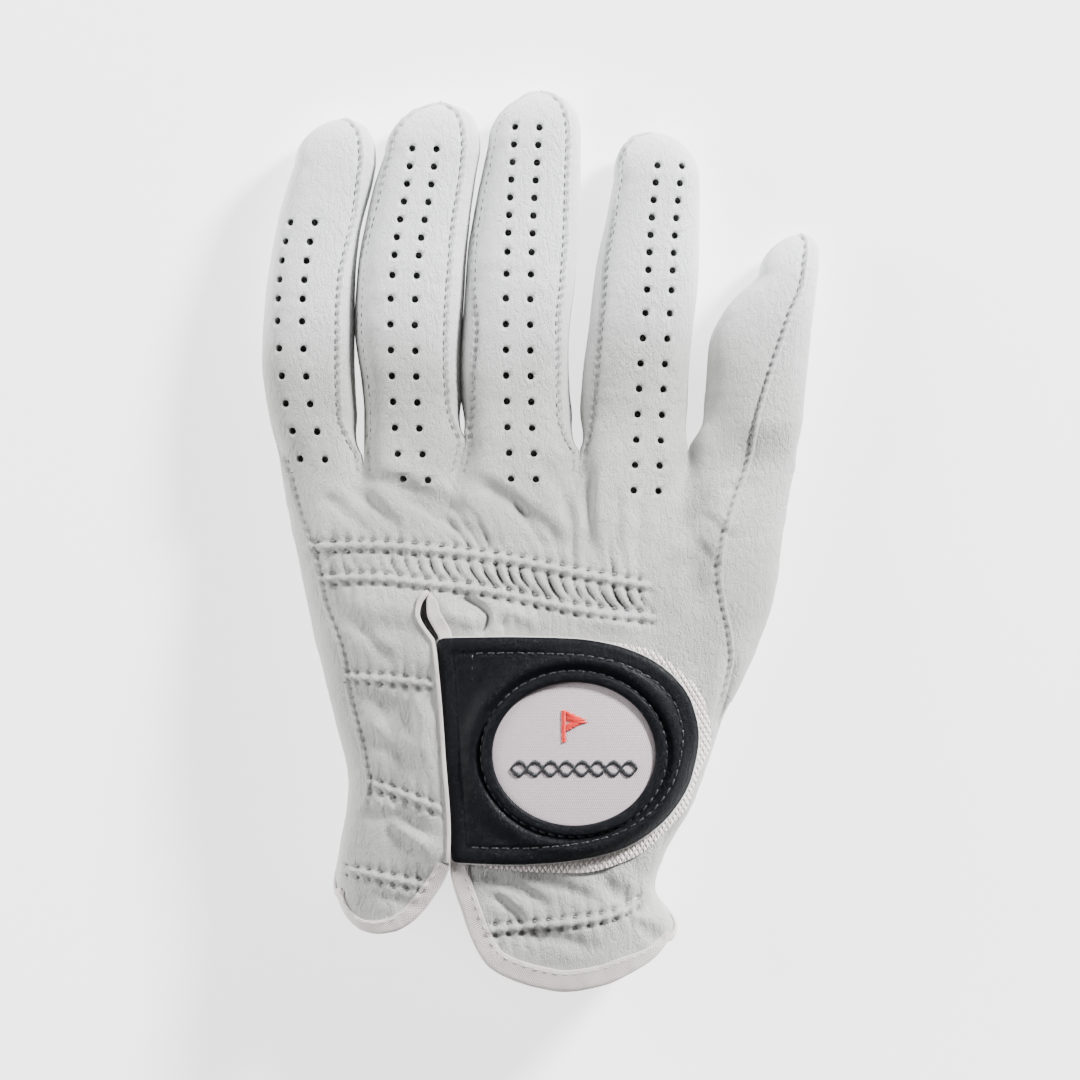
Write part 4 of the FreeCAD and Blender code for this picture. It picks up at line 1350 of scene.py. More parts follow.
    def sew_threads(self, piece: str, rows: Array) -> None:
        """Stitches along both back seams and both palm seams."""
        d = self.digit
        data = MeshData()
        for side, cover in ((-1, d.left_cover), (1, d.right_cover)):
            if cover is Cover.BACK:
                continue
            own = rows[rows > d.wall_start(side) + 0.8]
            own = own[own < d.tip[1] - 4.0]
            if cover is Cover.PALM:
                own = own[own < d.outer_seam_end - 3]
            if len(own) < 4:
                continue
            edge = d.seam(side, own)
            inset = 1.5 if side < 0 else -1.5
            for low in (False, True)[:2 if cover is Cover.FOURCHETTE else 1]:
                x = edge + (inset if not low else inset * 0.55)
                sec = d.section(own)
                free = d.freed(side, own)
                near = np.minimum(own, HAND_LIMIT_Y)
                hand_z = self.hand.under(x, near) if low else self.hand.top(x, near)
                own_z = sec.under(x) if low else sec.top(x)
                path = np.stack([x, own, mix(hand_z, own_z, free)], axis=1)
                tilt = side * (0.55 if not low else 0.35)
                up = unit(np.broadcast_to(np.array([tilt, 0, -1.0 if low else 1.0]), path.shape))
                stitches(data, path - up * 0.1, up, pitch=2.0, length=1.2, radius=0.15,
                         seed=5 + side + 3 * low)
        if data.count:
            obj = data.build(f"{d.name}_{piece}_seam_thread", self.finishes.seam_thread)
            self.finish(piece, obj)

    def sew(self) -> None:
        """Sews both lengths."""
        d = self.digit
        for piece, rows in (("base", d.rows(SPLIT_Y, d.cut())), ("end", d.rows(d.cut(), d.tip[1]))):
            self.sew_back(piece, rows)
            self.sew_palm(piece, rows)
            self.sew_sides(piece, rows)
            self.sew_threads(piece, rows)


@dataclass
class HandSewing:
    """Sews the hand: back, palm, thumb side, tapes and the threads over the hidden elastics."""
    hand: HandForm
    relief: HandRelief
    finishes: Finishes
    holes: Array
    edges: dict[int, Array] = field(default_factory=dict)
    floor_row: float = -45.0
    thenar_start: float = -14.5
    side_columns: int = 33
    hem_thumb: Track = Track(((-12, -52.5), (-8.3, -64), (-3.5, -73.8), (3, -77.6), (9, -79.7),
                              (14.7, -80.5), (23.5, -79.1), (30, -76.3), (35.4, -72.9), (39.0, -69.0),
                              (42, -65.5)))
    hem_pinkie: Track = Track(((-39, -55.5), (-37.3, -58.5), (-35, -63.7), (-32, -66.2), (-28.8, -67.3),
                               (-24.5, -66.8), (-20.9, -65), (-15.4, -59), (-11.4, -52.2)))
    hem_palm: Track = Track(((-39, -57.0), (-30, -53.5), (-12, -49.0), (0, -48.5), (20, -54.0), (34, -61.0),
                             (40, -63.6)))
    thumb_width: Track = Track(((0, 3.9), (0.3, 4.3), (0.6, 4.8), (0.8, 4.3), (0.93, 2.6), (1, 1.6)))
    pinkie_width: Track = Track(((0, 1.3), (0.15, 1.6), (0.4, 3.0), (0.7, 3.6), (0.9, 3.3), (1, 3.0)))
    eye_width: Track = Track(((0, 2.9), (0.06, 3.0), (0.12, 2.6), (0.17, 1.2), (0.3, 0.75), (1, 0.8)))
    tape_height: float = 0.5

    def flap_lift(self, x: Array, y: Array) -> Array:
        """The pinkie-side flap rises over the root of the tab."""
        along = ramp(-57, -48, y) * (1 - ramp(-6, 3, y))
        return 2.1 * ramp(-26, -13, x) * along

    def lobe_edge(self, thumb_side: bool, y: Array) -> Array:
        """Slit-side boundary of one half; on the thumb side it follows the rounded lobe."""
        if not thumb_side:
            return self.hand.slit_left(y)
        lobe = Track(((-78, -1.0), (-73.6, -3.5), (-63, -8.3), (-51.9, -11.2), (-45, -11.0)))
        return np.where(y < -45, lobe(y), self.hand.slit_right(y))

    def height(self, thumb_side: bool, x: Array, y: Array) -> Array:
        """Sewn-edge relief, folds and bands of one half, plus the flap's lift."""
        total = self.relief(x, y)
        if thumb_side:
            edge = self.hand.thumb_seam(y) - x
            total = total + seam_edge(edge, y, 41) * ramp(-17, -12, y)
        else:
            edge = x - self.hand.ulnar_seam(y)
            total = total + self.flap_lift(x, y) + seam_edge(edge, y, 43) * ramp(-40, -34, y)
        return total

    def half_grid(self, thumb_side: bool) -> Array:
        """Plan and smooth height of one half of the back.

        Columns run evenly between the two boundaries; rows are level above the floor row and fan out to
        the hem below it.
        """
        left = self.hand.ulnar_seam if not thumb_side else lambda y: self.lobe_edge(True, y)
        right = self.hand.thumb_seam if thumb_side else self.hand.slit_left
        hem = self.hem_thumb if thumb_side else self.hem_pinkie
        u = np.linspace(0, 1, 150 if thumb_side else 57)
        low = np.full_like(u, -65.0)
        for _ in range(SETTLE_STEPS):
            low = mix(low, hem(mix(left(low), right(low), u)), 0.6)
        level = np.linspace(self.floor_row, SPLIT_Y, 169)
        fan = np.linspace(0, 1, 70 if thumb_side else 44)[:-1]
        upper = np.repeat(level[:, None], len(u), axis=1)
        y = np.concatenate([mix(low[None], self.floor_row, fan[:, None]), upper])
        x = mix(left(y), right(y), u[None, :])
        return np.stack([x, y, self.hand.top(x, y)], axis=-1)

    def side_hem(self, side: int) -> Array:
        """Plan y of the hem round one side: it climbs from the back's corner towards the palm."""
        u = np.linspace(0, 1, self.side_columns)
        w = u if side > 0 else 1 - u
        low = float(self.edges[side][0, 1])
        end = float(self.hem_palm(39.5 if side > 0 else -37.0))
        return low + (end - low) * ramp(0.0, 0.8, w)

    def side_grid(self, side: int, rows: Array) -> Array:
        """One side of the hand, back seam round to the palm; rows may differ from column to column."""
        u = np.linspace(0, 1, self.side_columns)[None, :]
        yy = rows[:, None] if rows.ndim == 1 else rows
        edge = (self.hand.thumb_seam if side > 0 else self.hand.ulnar_seam)(yy)
        x, z = self.hand.section(yy).wall(side, edge, edge, u if side > 0 else 1 - u)
        return stacked(x, yy, z)

    def sew_back(self) -> None:
        """The back panel in one piece, open along the slit."""
        data = MeshData()
        for thumb_side in (False, True):
            grid = self.half_grid(thumb_side)
            x, y = grid[..., 0], grid[..., 1]
            # painted shade in the seam pits, the needle pits and the creases
            if thumb_side:
                seam = seam_shade(self.hand.thumb_seam(y) - x, y, 41) * ramp(-17, -12, y)
            else:
                seam = seam_shade(x - self.hand.ulnar_seam(y), y, 43) * ramp(-40, -34, y)
            patch = Patch(grid, shade=np.maximum(self.relief.shade(x, y), seam))
            patch = patch.raised(self.height(thumb_side, x, y))
            self.edges[1 if thumb_side else -1] = patch.points[:, -1 if thumb_side else 0]
            punched(data, patch, self.holes, HOLE_RADIUS, HOLE_DEPTH)
        obj = data.build("back_panel_leather", self.finishes.white, 0.004)
        finish_piece(obj, ["back_panel"])

    def sew_sides(self) -> None:
        """The thumb-side panel, and the palm with its wrapped sides."""
        grid = self.side_grid(1, np.linspace(self.thenar_start, SPLIT_Y, 108))
        data = MeshData()
        fade = np.sin(np.pi * np.linspace(0, 1, grid.shape[1]))[None, :]
        thenar = Patch(grid).raised(0.28 * fade * clouds(grid[..., 2] / 9.0, grid[..., 1] / 7.0, 61))
        data.add_patch(Patch(joined(thenar.points, self.edges[1], 1)))
        obj = data.build("thenar_leather", self.finishes.white, MERGE)
        finish_piece(obj, ["thenar_panel"])
        data = MeshData()
        for side, high in ((1, self.thenar_start), (-1, SPLIT_Y)):
            hem = self.side_hem(side)
            along = np.linspace(0, 1, 100 if side > 0 else 170)[:, None]
            grid = self.side_grid(side, mix(hem[None], high, along))
            fade = np.sin(np.pi * np.linspace(0, 1, grid.shape[1]))[None, :]
            wrap = Patch(grid).raised(0.2 * fade * clouds(grid[..., 2] / 9.0, grid[..., 1] / 7.0, 67))
            data.add_patch(Patch(joined(wrap.points, self.edges[side], side)))
        u = np.linspace(0, 1, 131)
        low = np.full_like(u, -55.0)
        for _ in range(SETTLE_STEPS):
            x = mix(self.hand.thumb_seam(low), self.hand.ulnar_seam(low), u)
            low = mix(low, self.hem_palm(x), 0.6)
        y = mix(low[None], SPLIT_Y, np.linspace(0, 1, 150)[:, None])
        x = mix(self.hand.thumb_seam(y), self.hand.ulnar_seam(y), u[None, :])
        grid = np.stack([x, y, self.hand.under(x, y)], axis=-1)
        edge = np.minimum(u, 1 - u)[None, :]
        crease = bell(y - 22 + 0.004 * (x - 5) ** 2, 1.3) + bell(y - 2 - 0.25 * x, 1.4)
        height = (0.22 * clouds(x / 14.0, y / 14.0, 73) - 0.4 * crease) * ramp(0, 0.05, edge)
        data.add_patch(Patch(grid).raised(height * (1 - ramp(30, 38, y))))
        obj = data.build("palm_panel_leather", self.finishes.palm, MERGE)
        finish_piece(obj, ["palm_panel"])

    def tape(self, name: str, node: str, path: Array, width: Track, thumb_side: bool,
             inward: int, sewn: bool = True) -> None:
        """A tape folded over an edge.

        The top leaf lies on the leather's relief, the fold runs round the edge, and the under leaf lies
        inside.  Each profile point is an inward distance on the surface and a height along its normal.

        Args:
            name: piece name.
            node: CAD node it replaces.
            path: plan points along the edge.
            width: width of each leaf along the path, which runs from 0 to 1.
            thumb_side: which half of the back it lies on.
            inward: 1 if the leather is to the left of the path's heading, else -1.
            sewn: whether its row of thread shows.
        """
        path = resample(path, 0.55)
        heading = unit(np.gradient(path, axis=0))
        side = np.stack([-heading[:, 1], heading[:, 0]], axis=1) * inward
        h = self.tape_height
        shares = np.array([(1.0, 0.02), (1.0, 0.6), (0.96, 1.0), (0.8, 1.05), (0.6, 1.02), (0.4, 1.0),
                           (0.2, 1.0), (0.06, 0.95), (-0.03, 0.55), (-0.06, -0.3), (-0.03, -1.5),
                           (0.06, -2.0), (0.5, -2.1), (0.95, -2.1)])
        inset = shares[:, 0] * width(np.linspace(0, 1, len(path)))[:, None]
        plan = path[:, None] + side[:, None] * inset[..., None]
        x, y = plan[..., 0], plan[..., 1]
        z = self.hand.top(x, y) + self.height(thumb_side, x, y)
        base = np.stack([x, y, z], axis=-1)
        delta = 0.3
        slope_x = (self.hand.top(x + delta, y) - self.hand.top(x - delta, y)) / (2 * delta)
        slope_y = (self.hand.top(x, y + delta) - self.hand.top(x, y - delta)) / (2 * delta)
        up = unit(np.stack([-slope_x, -slope_y, np.ones_like(z)], axis=-1))
        wave = 0.10 * clouds(x / 2.6, y / 2.6, 15) * (shares[:, 1] > 0.9)
        points = base + up * (shares[:, 1] * h + wave)[..., None]
        run = run_along(path)
        around = np.cumsum(np.hypot(np.diff(inset, axis=1, prepend=inset[:, :1]),
                                    np.diff(shares[:, 1] * h, prepend=0.0)), axis=1)
        uv = np.stack(np.broadcast_arrays(run[:, None], around), axis=-1)
        data = MeshData()
        data.add_patch(Patch(points, uv, inward < 0))
        obj = data.build(name, self.finishes.binding)
        finish_piece(obj, [node])
        if not sewn:
            return
        thread = MeshData()
        row = 3
        stitches(thread, points[:, row] - up[:, row] * 0.04, up[:, row], pitch=2.3, length=1.4, radius=0.14,
                 seed=len(name))
        finish_piece(thread.build(name + "_thread", self.finishes.pale_thread))

    def side_tape(self, side: int) -> None:
        """The cuff's tape round one side: outer leaf, fold, inner leaf, and a lap onto the back."""
        reach = np.array([4.6, 4.5, 3.6, 2.4, 1.2, 0.3, -0.15, -0.2, 0.2, 1.5, 4.4])
        height = np.array([0.02, 0.45, 0.5, 0.5, 0.5, 0.45, 0.1, -0.4, -1.0, -1.1, -1.1])
        w = np.linspace(0, 1, self.side_columns)[::side]
        reach = np.where(reach[:, None] > 0, reach[:, None] * mix(0.33, 1.0, ramp(0.1, 0.9, w))[None],
                         reach[:, None])
        grid = self.side_grid(side, self.side_hem(side)[None] + reach)
        up = unit(np.cross(np.gradient(grid, axis=1), np.array([0.0, 1.0, 0.0])))
        points = joined(grid, self.edges[side], side) + up * height[:, None, None]
        lap = points[:, :1] if side > 0 else points[:, -1:]
        x, y = lap[..., 0] - 1.4 * side, lap[..., 1]
        lap = np.stack([x, y, self.hand.top(x, y) + self.height(side > 0, x, y) + height[:, None]], axis=-1)
        points = np.concatenate([lap, points] if side > 0 else [points, lap], axis=1)
        data = MeshData()
        data.add_patch(Patch(points, flip=True))
        name = "cuff_tape_side_" + ("thumb" if side > 0 else "pinkie")
        finish_piece(data.build(name, self.finishes.binding))

    def sew_tapes(self) -> None:
        """Every binding."""
        self.tape("cuff_tape_thumb_side", "cuff_binding_thumb_side",
                  smooth_path([(-11.2, -44), (-11.2, -51.9), (-8.3, -63), (-5.8, -69.6), (-2.6, -74.6),
                               (3, -77.8), (9, -79.6), (14.7, -80.5), (23.5, -79.1), (30, -76.3),
                               (35.4, -72.9), (39.4, -67.8)], TAPE_POINTS), self.thumb_width, True, 1)
        self.tape("cuff_tape_pinkie_side", "cuff_binding_pinkie_side",
                  smooth_path([(-37.6, -57.2), (-36.6, -60.8), (-34.4, -64.4), (-31.5, -66.6),
                               (-28.3, -67.3), (-24.5, -66.8), (-20.9, -65), (-17.8, -62.2), (-15.4, -59),
                               (-13.0, -55.3), (-11.5, -51.8)], TAPE_POINTS), self.pinkie_width, False, 1)
        eye_right = [(float(self.hand.slit_right(y)), float(y)) for y in np.linspace(-0.2, 9.2, 8)]
        eye_left = [(float(self.hand.slit_left(y)), float(y)) for y in np.linspace(9.2, -51.0, 40)]
        slit = smooth_path(eye_right + [(-16.2, 10.4)] + eye_left, TAPE_POINTS)
        self.tape("slit_tape", "slit_binding", slit, self.eye_width, False, -1, False)
        self.side_tape(1)
        self.side_tape(-1)
        u = np.linspace(0, 1, 90)
        x = mix(-37.0, 38.6, u)
        y = self.hem_palm(x)
        z = self.hand.under(x, y)
        path = np.stack([x, y, z], axis=1)
        side = np.tile([0.0, 1.0, 0.0], (len(path), 1))
        up = np.tile(UP, (len(path), 1))
        profile = np.array([(4.6, -0.02), (4.5, -0.45), (0.2, -0.45), (-0.3, 0.0), (-0.3, 0.6), (0.2, 1.1),
                            (4.6, 1.1)])
        profile[:, 1] = np.maximum(profile[:, 1], 0.02)
        hem = sweep(path, side, up, profile)
        y = hem.points[..., 1]
        hem.points[..., 0] = np.clip(hem.points[..., 0], self.hand.ulnar_seam(y) - 0.3,
                                     self.hand.thumb_seam(y) + 0.3)
        data = MeshData()
        data.add_patch(hem)
        obj = data.build("palm_hem_tape", self.finishes.binding)
        finish_piece(obj, ["palm_hem_binding"])

    def sew_bands(self) -> None:
        """Thread rows on top and the elastics inside."""
        groups = {"knuckle_thread": (self.relief.knuckle_upper, self.relief.knuckle_lower),
                  "flap_thread": (self.relief.flap_upper, self.relief.flap_middle, self.relief.flap_lower),
                  "cuff_thread": (self.relief.cuff,)}
        for node, bands in groups.items():
            data = MeshData()
            for number, band in enumerate(bands):
                thumb_side = node != "flap_thread"
                for which in (0, 1):
                    lift = lambda a, b: self.height(thumb_side, a, b)
                    if node == "knuckle_thread":
                        lift = self.relief
                    path, up = band.row(self.hand, which, lift)
                    stitches(data, path + up * 0.04, up, band.pitch, length=0.95, radius=0.2,
                             seed=7 * number + which, places=band.needle_places())
            finish_piece(data.build(node + "_rows", self.finishes.white_thread), [node])
        webs = {"knuckle_elastic_upper": self.relief.knuckle_upper,
                "knuckle_elastic_lower": self.relief.knuckle_lower,
                "flap_elastic_upper": self.relief.flap_upper,
                "flap_elastic_middle": self.relief.flap_middle,
                "flap_elastic_lower": self.relief.flap_lower, "cuff_elastic": self.relief.cuff}
        for node, band in webs.items():
            x = np.arange(band.start, band.end, 0.8)
            y = band.line(x) - band.gap / 2
            lift = 0.0 if not node.startswith("flap") else self.flap_lift(x, y)
            z = self.hand.top(x, y) + lift - 1.7
            path = np.stack([x, y, z], axis=1)
            slope = np.gradient(z, x)
            up = unit(np.stack([-slope, 0 * x, 1 + 0 * x], axis=1))
            side = np.tile([0.0, 1.0, 0.0], (len(x), 1))
            profile = np.array([(1.5, -0.3), (1.5, 0.3), (-1.5, 0.3), (-1.5, -0.3), (1.5, -0.3)])
            data = MeshData()
            data.add_patch(sweep(path, side, up, profile))
            finish_piece(data.build(node + "_web", self.finishes.elastic), [node])

    def sew(self) -> None:
        """Sews everything."""
        self.sew_back()
        self.sew_sides()
        self.sew_tapes()
        self.sew_bands()


@dataclass
class Closure:
    """The black tab with its padded window and badge, its lining and hook, and the knit pad below."""
    hand: HandForm
    finishes: Finishes
    outline: tuple[tuple[float, float], ...] = (
        (-14.3, 0.3), (-6, 0.5), (2, 0.6), (10, 0.5), (17.5, 0.2), (25.3, -1.0), (33, -3.7), (39.6, -8.3),
        (43.9, -14.5), (45.5, -22), (43.9, -31.3), (39.6, -39.1), (33.6, -44.6), (27.0, -48.0),
        (17.5, -50.2), (9, -51.0), (4.6, -51.2), (-3, -51.1), (-10.9, -50.7))
    centre: tuple[float, float] = (17.0, -26.0)
    half: tuple[float, float] = (18.7, 16.4)
    leather: float = 0.9
    lining: float = 0.5
    rise: float = 3.2
    ridge: float = 0.75
    ridge_place: float = 1.3
    ring_row: float = 2.6
    edge_row: float = 3.5
    badge_depth: float = 0.45
    root_x: float = -16.5
    count: int = 400

    def base(self, x: Array, y: Array) -> Array:
        """Top of the tab's leather without relief; it sinks towards the slit, under the flap."""
        own = self.hand.section(y).top(x)
        return own + mix(1.35, self.rise, ramp(-12, -1, x))

    def ring(self, grow: float, outline: Optional[Sequence[tuple[float, float]]] = None) -> Array:
        """Plan outline seen from the badge's centre, at even angles, grown outwards.

        Corners are rounded by averaging the radius over a few neighbours.
        """
        curve = smooth_path(outline or self.outline, 1200)
        curve = np.concatenate([curve, mix(curve[-1], curve[0], np.linspace(0, 1, 300)[:, None])])
        delta = curve - np.array(self.centre)
        angle, radius = np.arctan2(delta[:, 1], delta[:, 0]), np.linalg.norm(delta, axis=1)
        order = np.argsort(angle)
        want = np.linspace(-np.pi, np.pi, self.count, endpoint=False)
        r = np.interp(want, angle[order], radius[order], period=2 * np.pi)
        r = np.mean([np.roll(r, k) for k in (-1, 0, 1)], axis=0)
        way = np.stack([np.cos(want), np.sin(want)], axis=1)
        plain = np.array(self.centre) + way * r[:, None]
        if not grow:
            return plain
        tangent = np.roll(plain, -1, axis=0) - np.roll(plain, 1, axis=0)
        return plain + unit(np.stack([tangent[:, 1], -tangent[:, 0]], axis=1)) * grow

    def window(self, grow: float) -> Array:
        """The oval window, at the same angles."""
        want = np.linspace(-np.pi, np.pi, self.count, endpoint=False)
        a, b = self.half[0] + grow, self.half[1] + grow
        r = 1 / np.sqrt((np.cos(want) / a) ** 2 + (np.sin(want) / b) ** 2)
        return np.array(self.centre) + np.stack([np.cos(want), np.sin(want)], axis=1) * r[:, None]

    @staticmethod
    def gap(plan: Array, ring: Array) -> Array:
        """Distance from each plan point to a closed ring of points."""
        flat = plan.reshape(-1, 2)
        best = np.full(len(flat), 1e9)
        a, b = ring, np.roll(ring, -1, axis=0)
        for k in range(0, len(ring), 8):
            aa, bb = a[k:k + 8][None], b[k:k + 8][None]
            ab = bb - aa
            t = np.clip(((flat[:, None] - aa) * ab).sum(-1) / np.maximum((ab ** 2).sum(-1), 1e-9), 0, 1)
            d = np.linalg.norm(flat[:, None] - aa - ab * t[..., None], axis=-1)
            best = np.minimum(best, d.min(axis=1))
        return best.reshape(plan.shape[:-1])

    def surface(self, plan: Array, low: float) -> Array:
        """Plan points lifted to the tab, a depth below its top."""
        return np.concatenate([plan, (self.base(plan[..., 0], plan[..., 1]) - low)[..., None]], axis=-1)

    def leather_relief(self, plan: Array) -> Array:
        """Padded ridge round the window, groove at each stitch row, rolled outer edge, faint waves."""
        inner = self.gap(plan, self.window(0))
        outer = self.gap(plan, self.ring(0))
        x, y = plan[..., 0], plan[..., 1]
        angle = np.arctan2(y - self.centre[1], x - self.centre[0])
        beat = 0.5 + 0.5 * np.cos(angle * 50)
        ridge = self.ridge * np.clip(1 - ((inner - self.ridge_place) / 1.35) ** 2, 0, 1) ** 0.7
        groove = -(0.22 + 0.16 * beat) * bell(inner - self.ring_row, 0.45)
        pad = 0.85 * bell(inner - self.ring_row - 2.6, 2.0) * ramp(2.6, 4.4, inner)
        edge = -(0.20 + 0.10 * beat) * bell(outer - self.edge_row, 0.5) + 0.12 * bell(outer - 1.7, 1.1)
        roll = -0.35 * bell(outer, 0.55)
        return ridge + groove + pad + edge + roll + 0.06 * clouds(x / 9.0, y / 9.0, 31)

    def cut_leather(self) -> None:
        """The leather as a closed ring: top, rolled edge, underside and window wall."""
        inner, outer = self.window(0), self.ring(0)
        share = np.linspace(0, 1, 62)
        plan = mix(inner[None], outer[None], share[:, None, None])
        top = self.surface(plan, 0)
        top[..., 2] += self.leather_relief(plan)
        edge = [self.surface(self.ring(0.18), 0.45), self.surface(self.ring(0.16), 0.75),
                self.surface(outer, self.leather)]
        below = self.surface(mix(outer[None], inner[None], np.linspace(0, 1, 12)[:, None, None])[1:],
                             self.leather)
        points = np.concatenate([top, np.stack(edge), below, top[:1]])
        data = MeshData()
        data.add_patch(Patch(points, flip=True), wrap=True)
        obj = data.build("tab_black_leather", self.finishes.black, MERGE)
        finish_piece(obj, ["tab_leather"], "tab")
        rim = MeshData()
        ring = self.window(self.ridge_place)
        cord = self.surface(ring, -self.ridge + 0.25)
        tangent = unit(np.roll(cord, -1, axis=0) - np.roll(cord, 1, axis=0))
        up = np.tile(UP, (len(cord), 1))
        side = np.cross(tangent, up)
        angle = np.linspace(0, 2 * np.pi, 13)
        profile = np.stack([np.cos(angle) * 1.15, np.sin(angle) * 0.42], axis=1)
        rim.add_patch(Patch(sweep(cord, side, up, profile, True).points))
        obj = rim.build("window_padding", self.finishes.black, MERGE)
        finish_piece(obj, ["roundel_rim"], "tab")

    def sew_rows(self) -> None:
        """Stitches round the window and along the tab's edge."""
        data = MeshData()
        for plan, seed in ((self.window(self.ring_row), 3), (self.ring(-self.edge_row), 4)):
            plan = np.concatenate([plan, plan[:1]])
            height = self.leather_relief(plan)
            path = self.surface(plan, 0)
            path[:, 2] += height + 0.02
            if seed == 4:
                path = path[path[:, 0] > -6.8]
                start = int(np.argmax(np.linalg.norm(np.diff(path, axis=0), axis=1))) + 1
                path = np.roll(path, -start, axis=0)
            up = np.tile(UP, (len(path), 1))
            stitches(data, path, up, pitch=2.3, length=1.65, radius=0.17, seed=seed)
        finish_piece(data.build("tab_stitching", self.finishes.black_thread),
                     ["tab_thread"], "tab")

    def plate(self, name: str, ring: Array, middle: Array, top: Callable[[Array], Array], thickness: float,
              material: bpy.types.Material, nodes: Sequence[str], body: str,
              bulge: float = 0.0, rings: int = 24) -> None:
        """A closed pad: rings from its middle to its outline on top, and back underneath.

        Args:
            name: piece name.
            ring: plan outline.
            middle: plan centre.
            top: height of the top for plan points.
            thickness: full thickness.
            material: its material.
            nodes: CAD nodes it replaces.
            body: body it rides on.
            bulge: rounding added in the middle.
            rings: number of rings.
        """
        share = np.sin(np.linspace(0, np.pi / 2, rings))
        share[0] = 1e-4
        plan = mix(np.broadcast_to(middle, ring.shape)[None], ring[None], share[:, None, None])
        upper = np.concatenate([plan, (top(plan) + bulge * (1 - share[:, None] ** 2) - 0.25 * thickness
                                       * ramp(0.965, 1.0, share)[:, None])[..., None]], axis=-1)
        lower = plan[::-1]
        under = np.concatenate([lower, (top(lower) - thickness)[..., None]], axis=-1)
        data = MeshData()
        points = np.concatenate([upper, under])
        data.add_patch(Patch(points, flip=True), wrap=True)
        finish_piece(data.build(name, material, MERGE), nodes, body)

    def build_layers(self) -> None:
        """Lining, hook, badge and the knit pad."""
        centre = np.array(self.centre)

        def under_leather(depth: float) -> Callable[[Array], Array]:
            return lambda plan: self.base(plan[..., 0], plan[..., 1]) - depth

        self.plate("tab_lining_layer", self.ring(0.45), centre, under_leather(self.leather - 0.02),
                   self.lining, self.finishes.lining, ["tab_lining"], "tab")
        reach = 0.82 * (self.ring(0) - centre)
        cut = np.where(reach[:, 0] < 2.0 - centre[0], (2.0 - centre[0]) / np.minimum(reach[:, 0], -1e-6),
                       1.0)
        hook = centre + reach * cut[:, None]
        self.plate("hook_patch", hook, centre, under_leather(self.leather + self.lining), 0.5,
                   self.finishes.hook, ["hook_pad"], "tab")
        self.plate("badge_cloth", self.window(0.5), centre, under_leather(self.badge_depth), 0.4,
                   self.finishes.roundel, ["roundel_patch"], "tab", bulge=0.25, rings=30)
        pad_outline = ((-6.5, 0.3), (2, 0.4), (17.5, 0.2), (33, -1.6), (40.7, -6.4), (46.6, -12.9),
                       (48.6, -22.0), (46.8, -32.4), (39.8, -42.2), (30.4, -50.0), (17.5, -53.4),
                       (2, -52.8), (-6.7, -51.4))
        pad = self.ring(0, pad_outline) - centre
        limit = self.hand.thumb_seam(pad[:, 1] + centre[1]) + 0.4 - centre[0]
        pad = centre + pad * np.where(pad[:, 0] > limit, limit / np.maximum(pad[:, 0], 1e-6), 1.0)[:, None]

        def on_hand(plan: Array) -> Array:
            x, y = plan[..., 0], plan[..., 1]
            return self.hand.section(y).top(x) + 1.0 + 0.07 * clouds(x / 1.5, y / 1.5, 5)

        self.plate("knit_landing_pad", pad, centre, on_hand, 0.9, self.finishes.knit, ["loop_pad"],
                   "hand", rings=60)
        y = np.linspace(-49.5, -2.0, 40)
        path = np.stack([self.root_x + 0 * y, y, self.hand.top(self.root_x + 0 * y, y) - 1.6], axis=1)
        side = np.tile([1.0, 0.0, 0.0], (len(y), 1))
        up = np.tile(UP, (len(y), 1))
        profile = np.array([(-5.0, 0.0), (3.0, 0.0), (3.9, 0.4), (4.2, 1.2), (3.6, 1.2), (3.2, 0.9),
                            (2.6, 0.6), (-5.0, 0.6), (-5.0, 0.0)])
        data = MeshData()
        data.add_patch(Patch(sweep(path, side, up, profile[::-1]).points))
        finish_piece(data.build("tab_root_leather", self.finishes.black), ["tab_root"])

    def build_emblem(self) -> None:
        """A plain red pennant and, below it, a black plait: satin stitches set side by side.

        The pennant's rows shorten evenly to both sides of its point.  The plait is two sine waves, half a
        turn apart, of short slanting stitches.
        """
        red, black = MeshData(), MeshData()
        cx, cy = self.centre

        def row(data: MeshData, a: tuple[float, float], b: tuple[float, float], radius: float,
                seed: int) -> None:
            plan = np.linspace(a, b, 8)
            z = self.base(plan[:, 0], plan[:, 1]) - self.badge_depth + 0.25
            path = np.concatenate([plan, z[:, None]], axis=1)
            up = np.tile(UP, (len(path), 1))
            length = float(np.linalg.norm(path[-1] - path[0]))
            stitches(data, path, up, length * 0.98, length, radius, seed=seed)

        top = cy + 9.6
        for k, t in enumerate(np.linspace(0.02, 0.98, 15)):
            reach = 4.4 * (1 - abs(2 * t - 1)) + 0.7
            row(red, (cx - 1.9, top - 4.2 * t), (cx - 1.9 + reach, top - 4.2 * t), 0.24, 100 + k)
        for k, y in enumerate(np.linspace(top - 6.8, top + 0.2, 24)):
            row(red, (cx - 2.9, y - 0.1), (cx - 1.8, y + 0.1), 0.24, 200 + k)
        for strand in (0, 1):
            for k, x in enumerate(np.linspace(-14.4, 14.4, 120)):
                y = cy - 3.4 + 1.5 * math.sin(2 * math.pi * x / 7.2 + math.pi * strand)
                row(black, (cx + x - 0.16, y - 0.55), (cx + x + 0.16, y + 0.55), 0.2, 300 + k)
        finish_piece(red.build("pennant_embroidery", self.finishes.red),
                     ["roundel_emblem"], "tab")
        finish_piece(black.build("plait_embroidery", self.finishes.black_thread), (), "tab")

    def build(self) -> None:
        """Builds every layer."""
        self.cut_leather()
        self.sew_rows()
        self.build_layers()
        self.build_emblem()


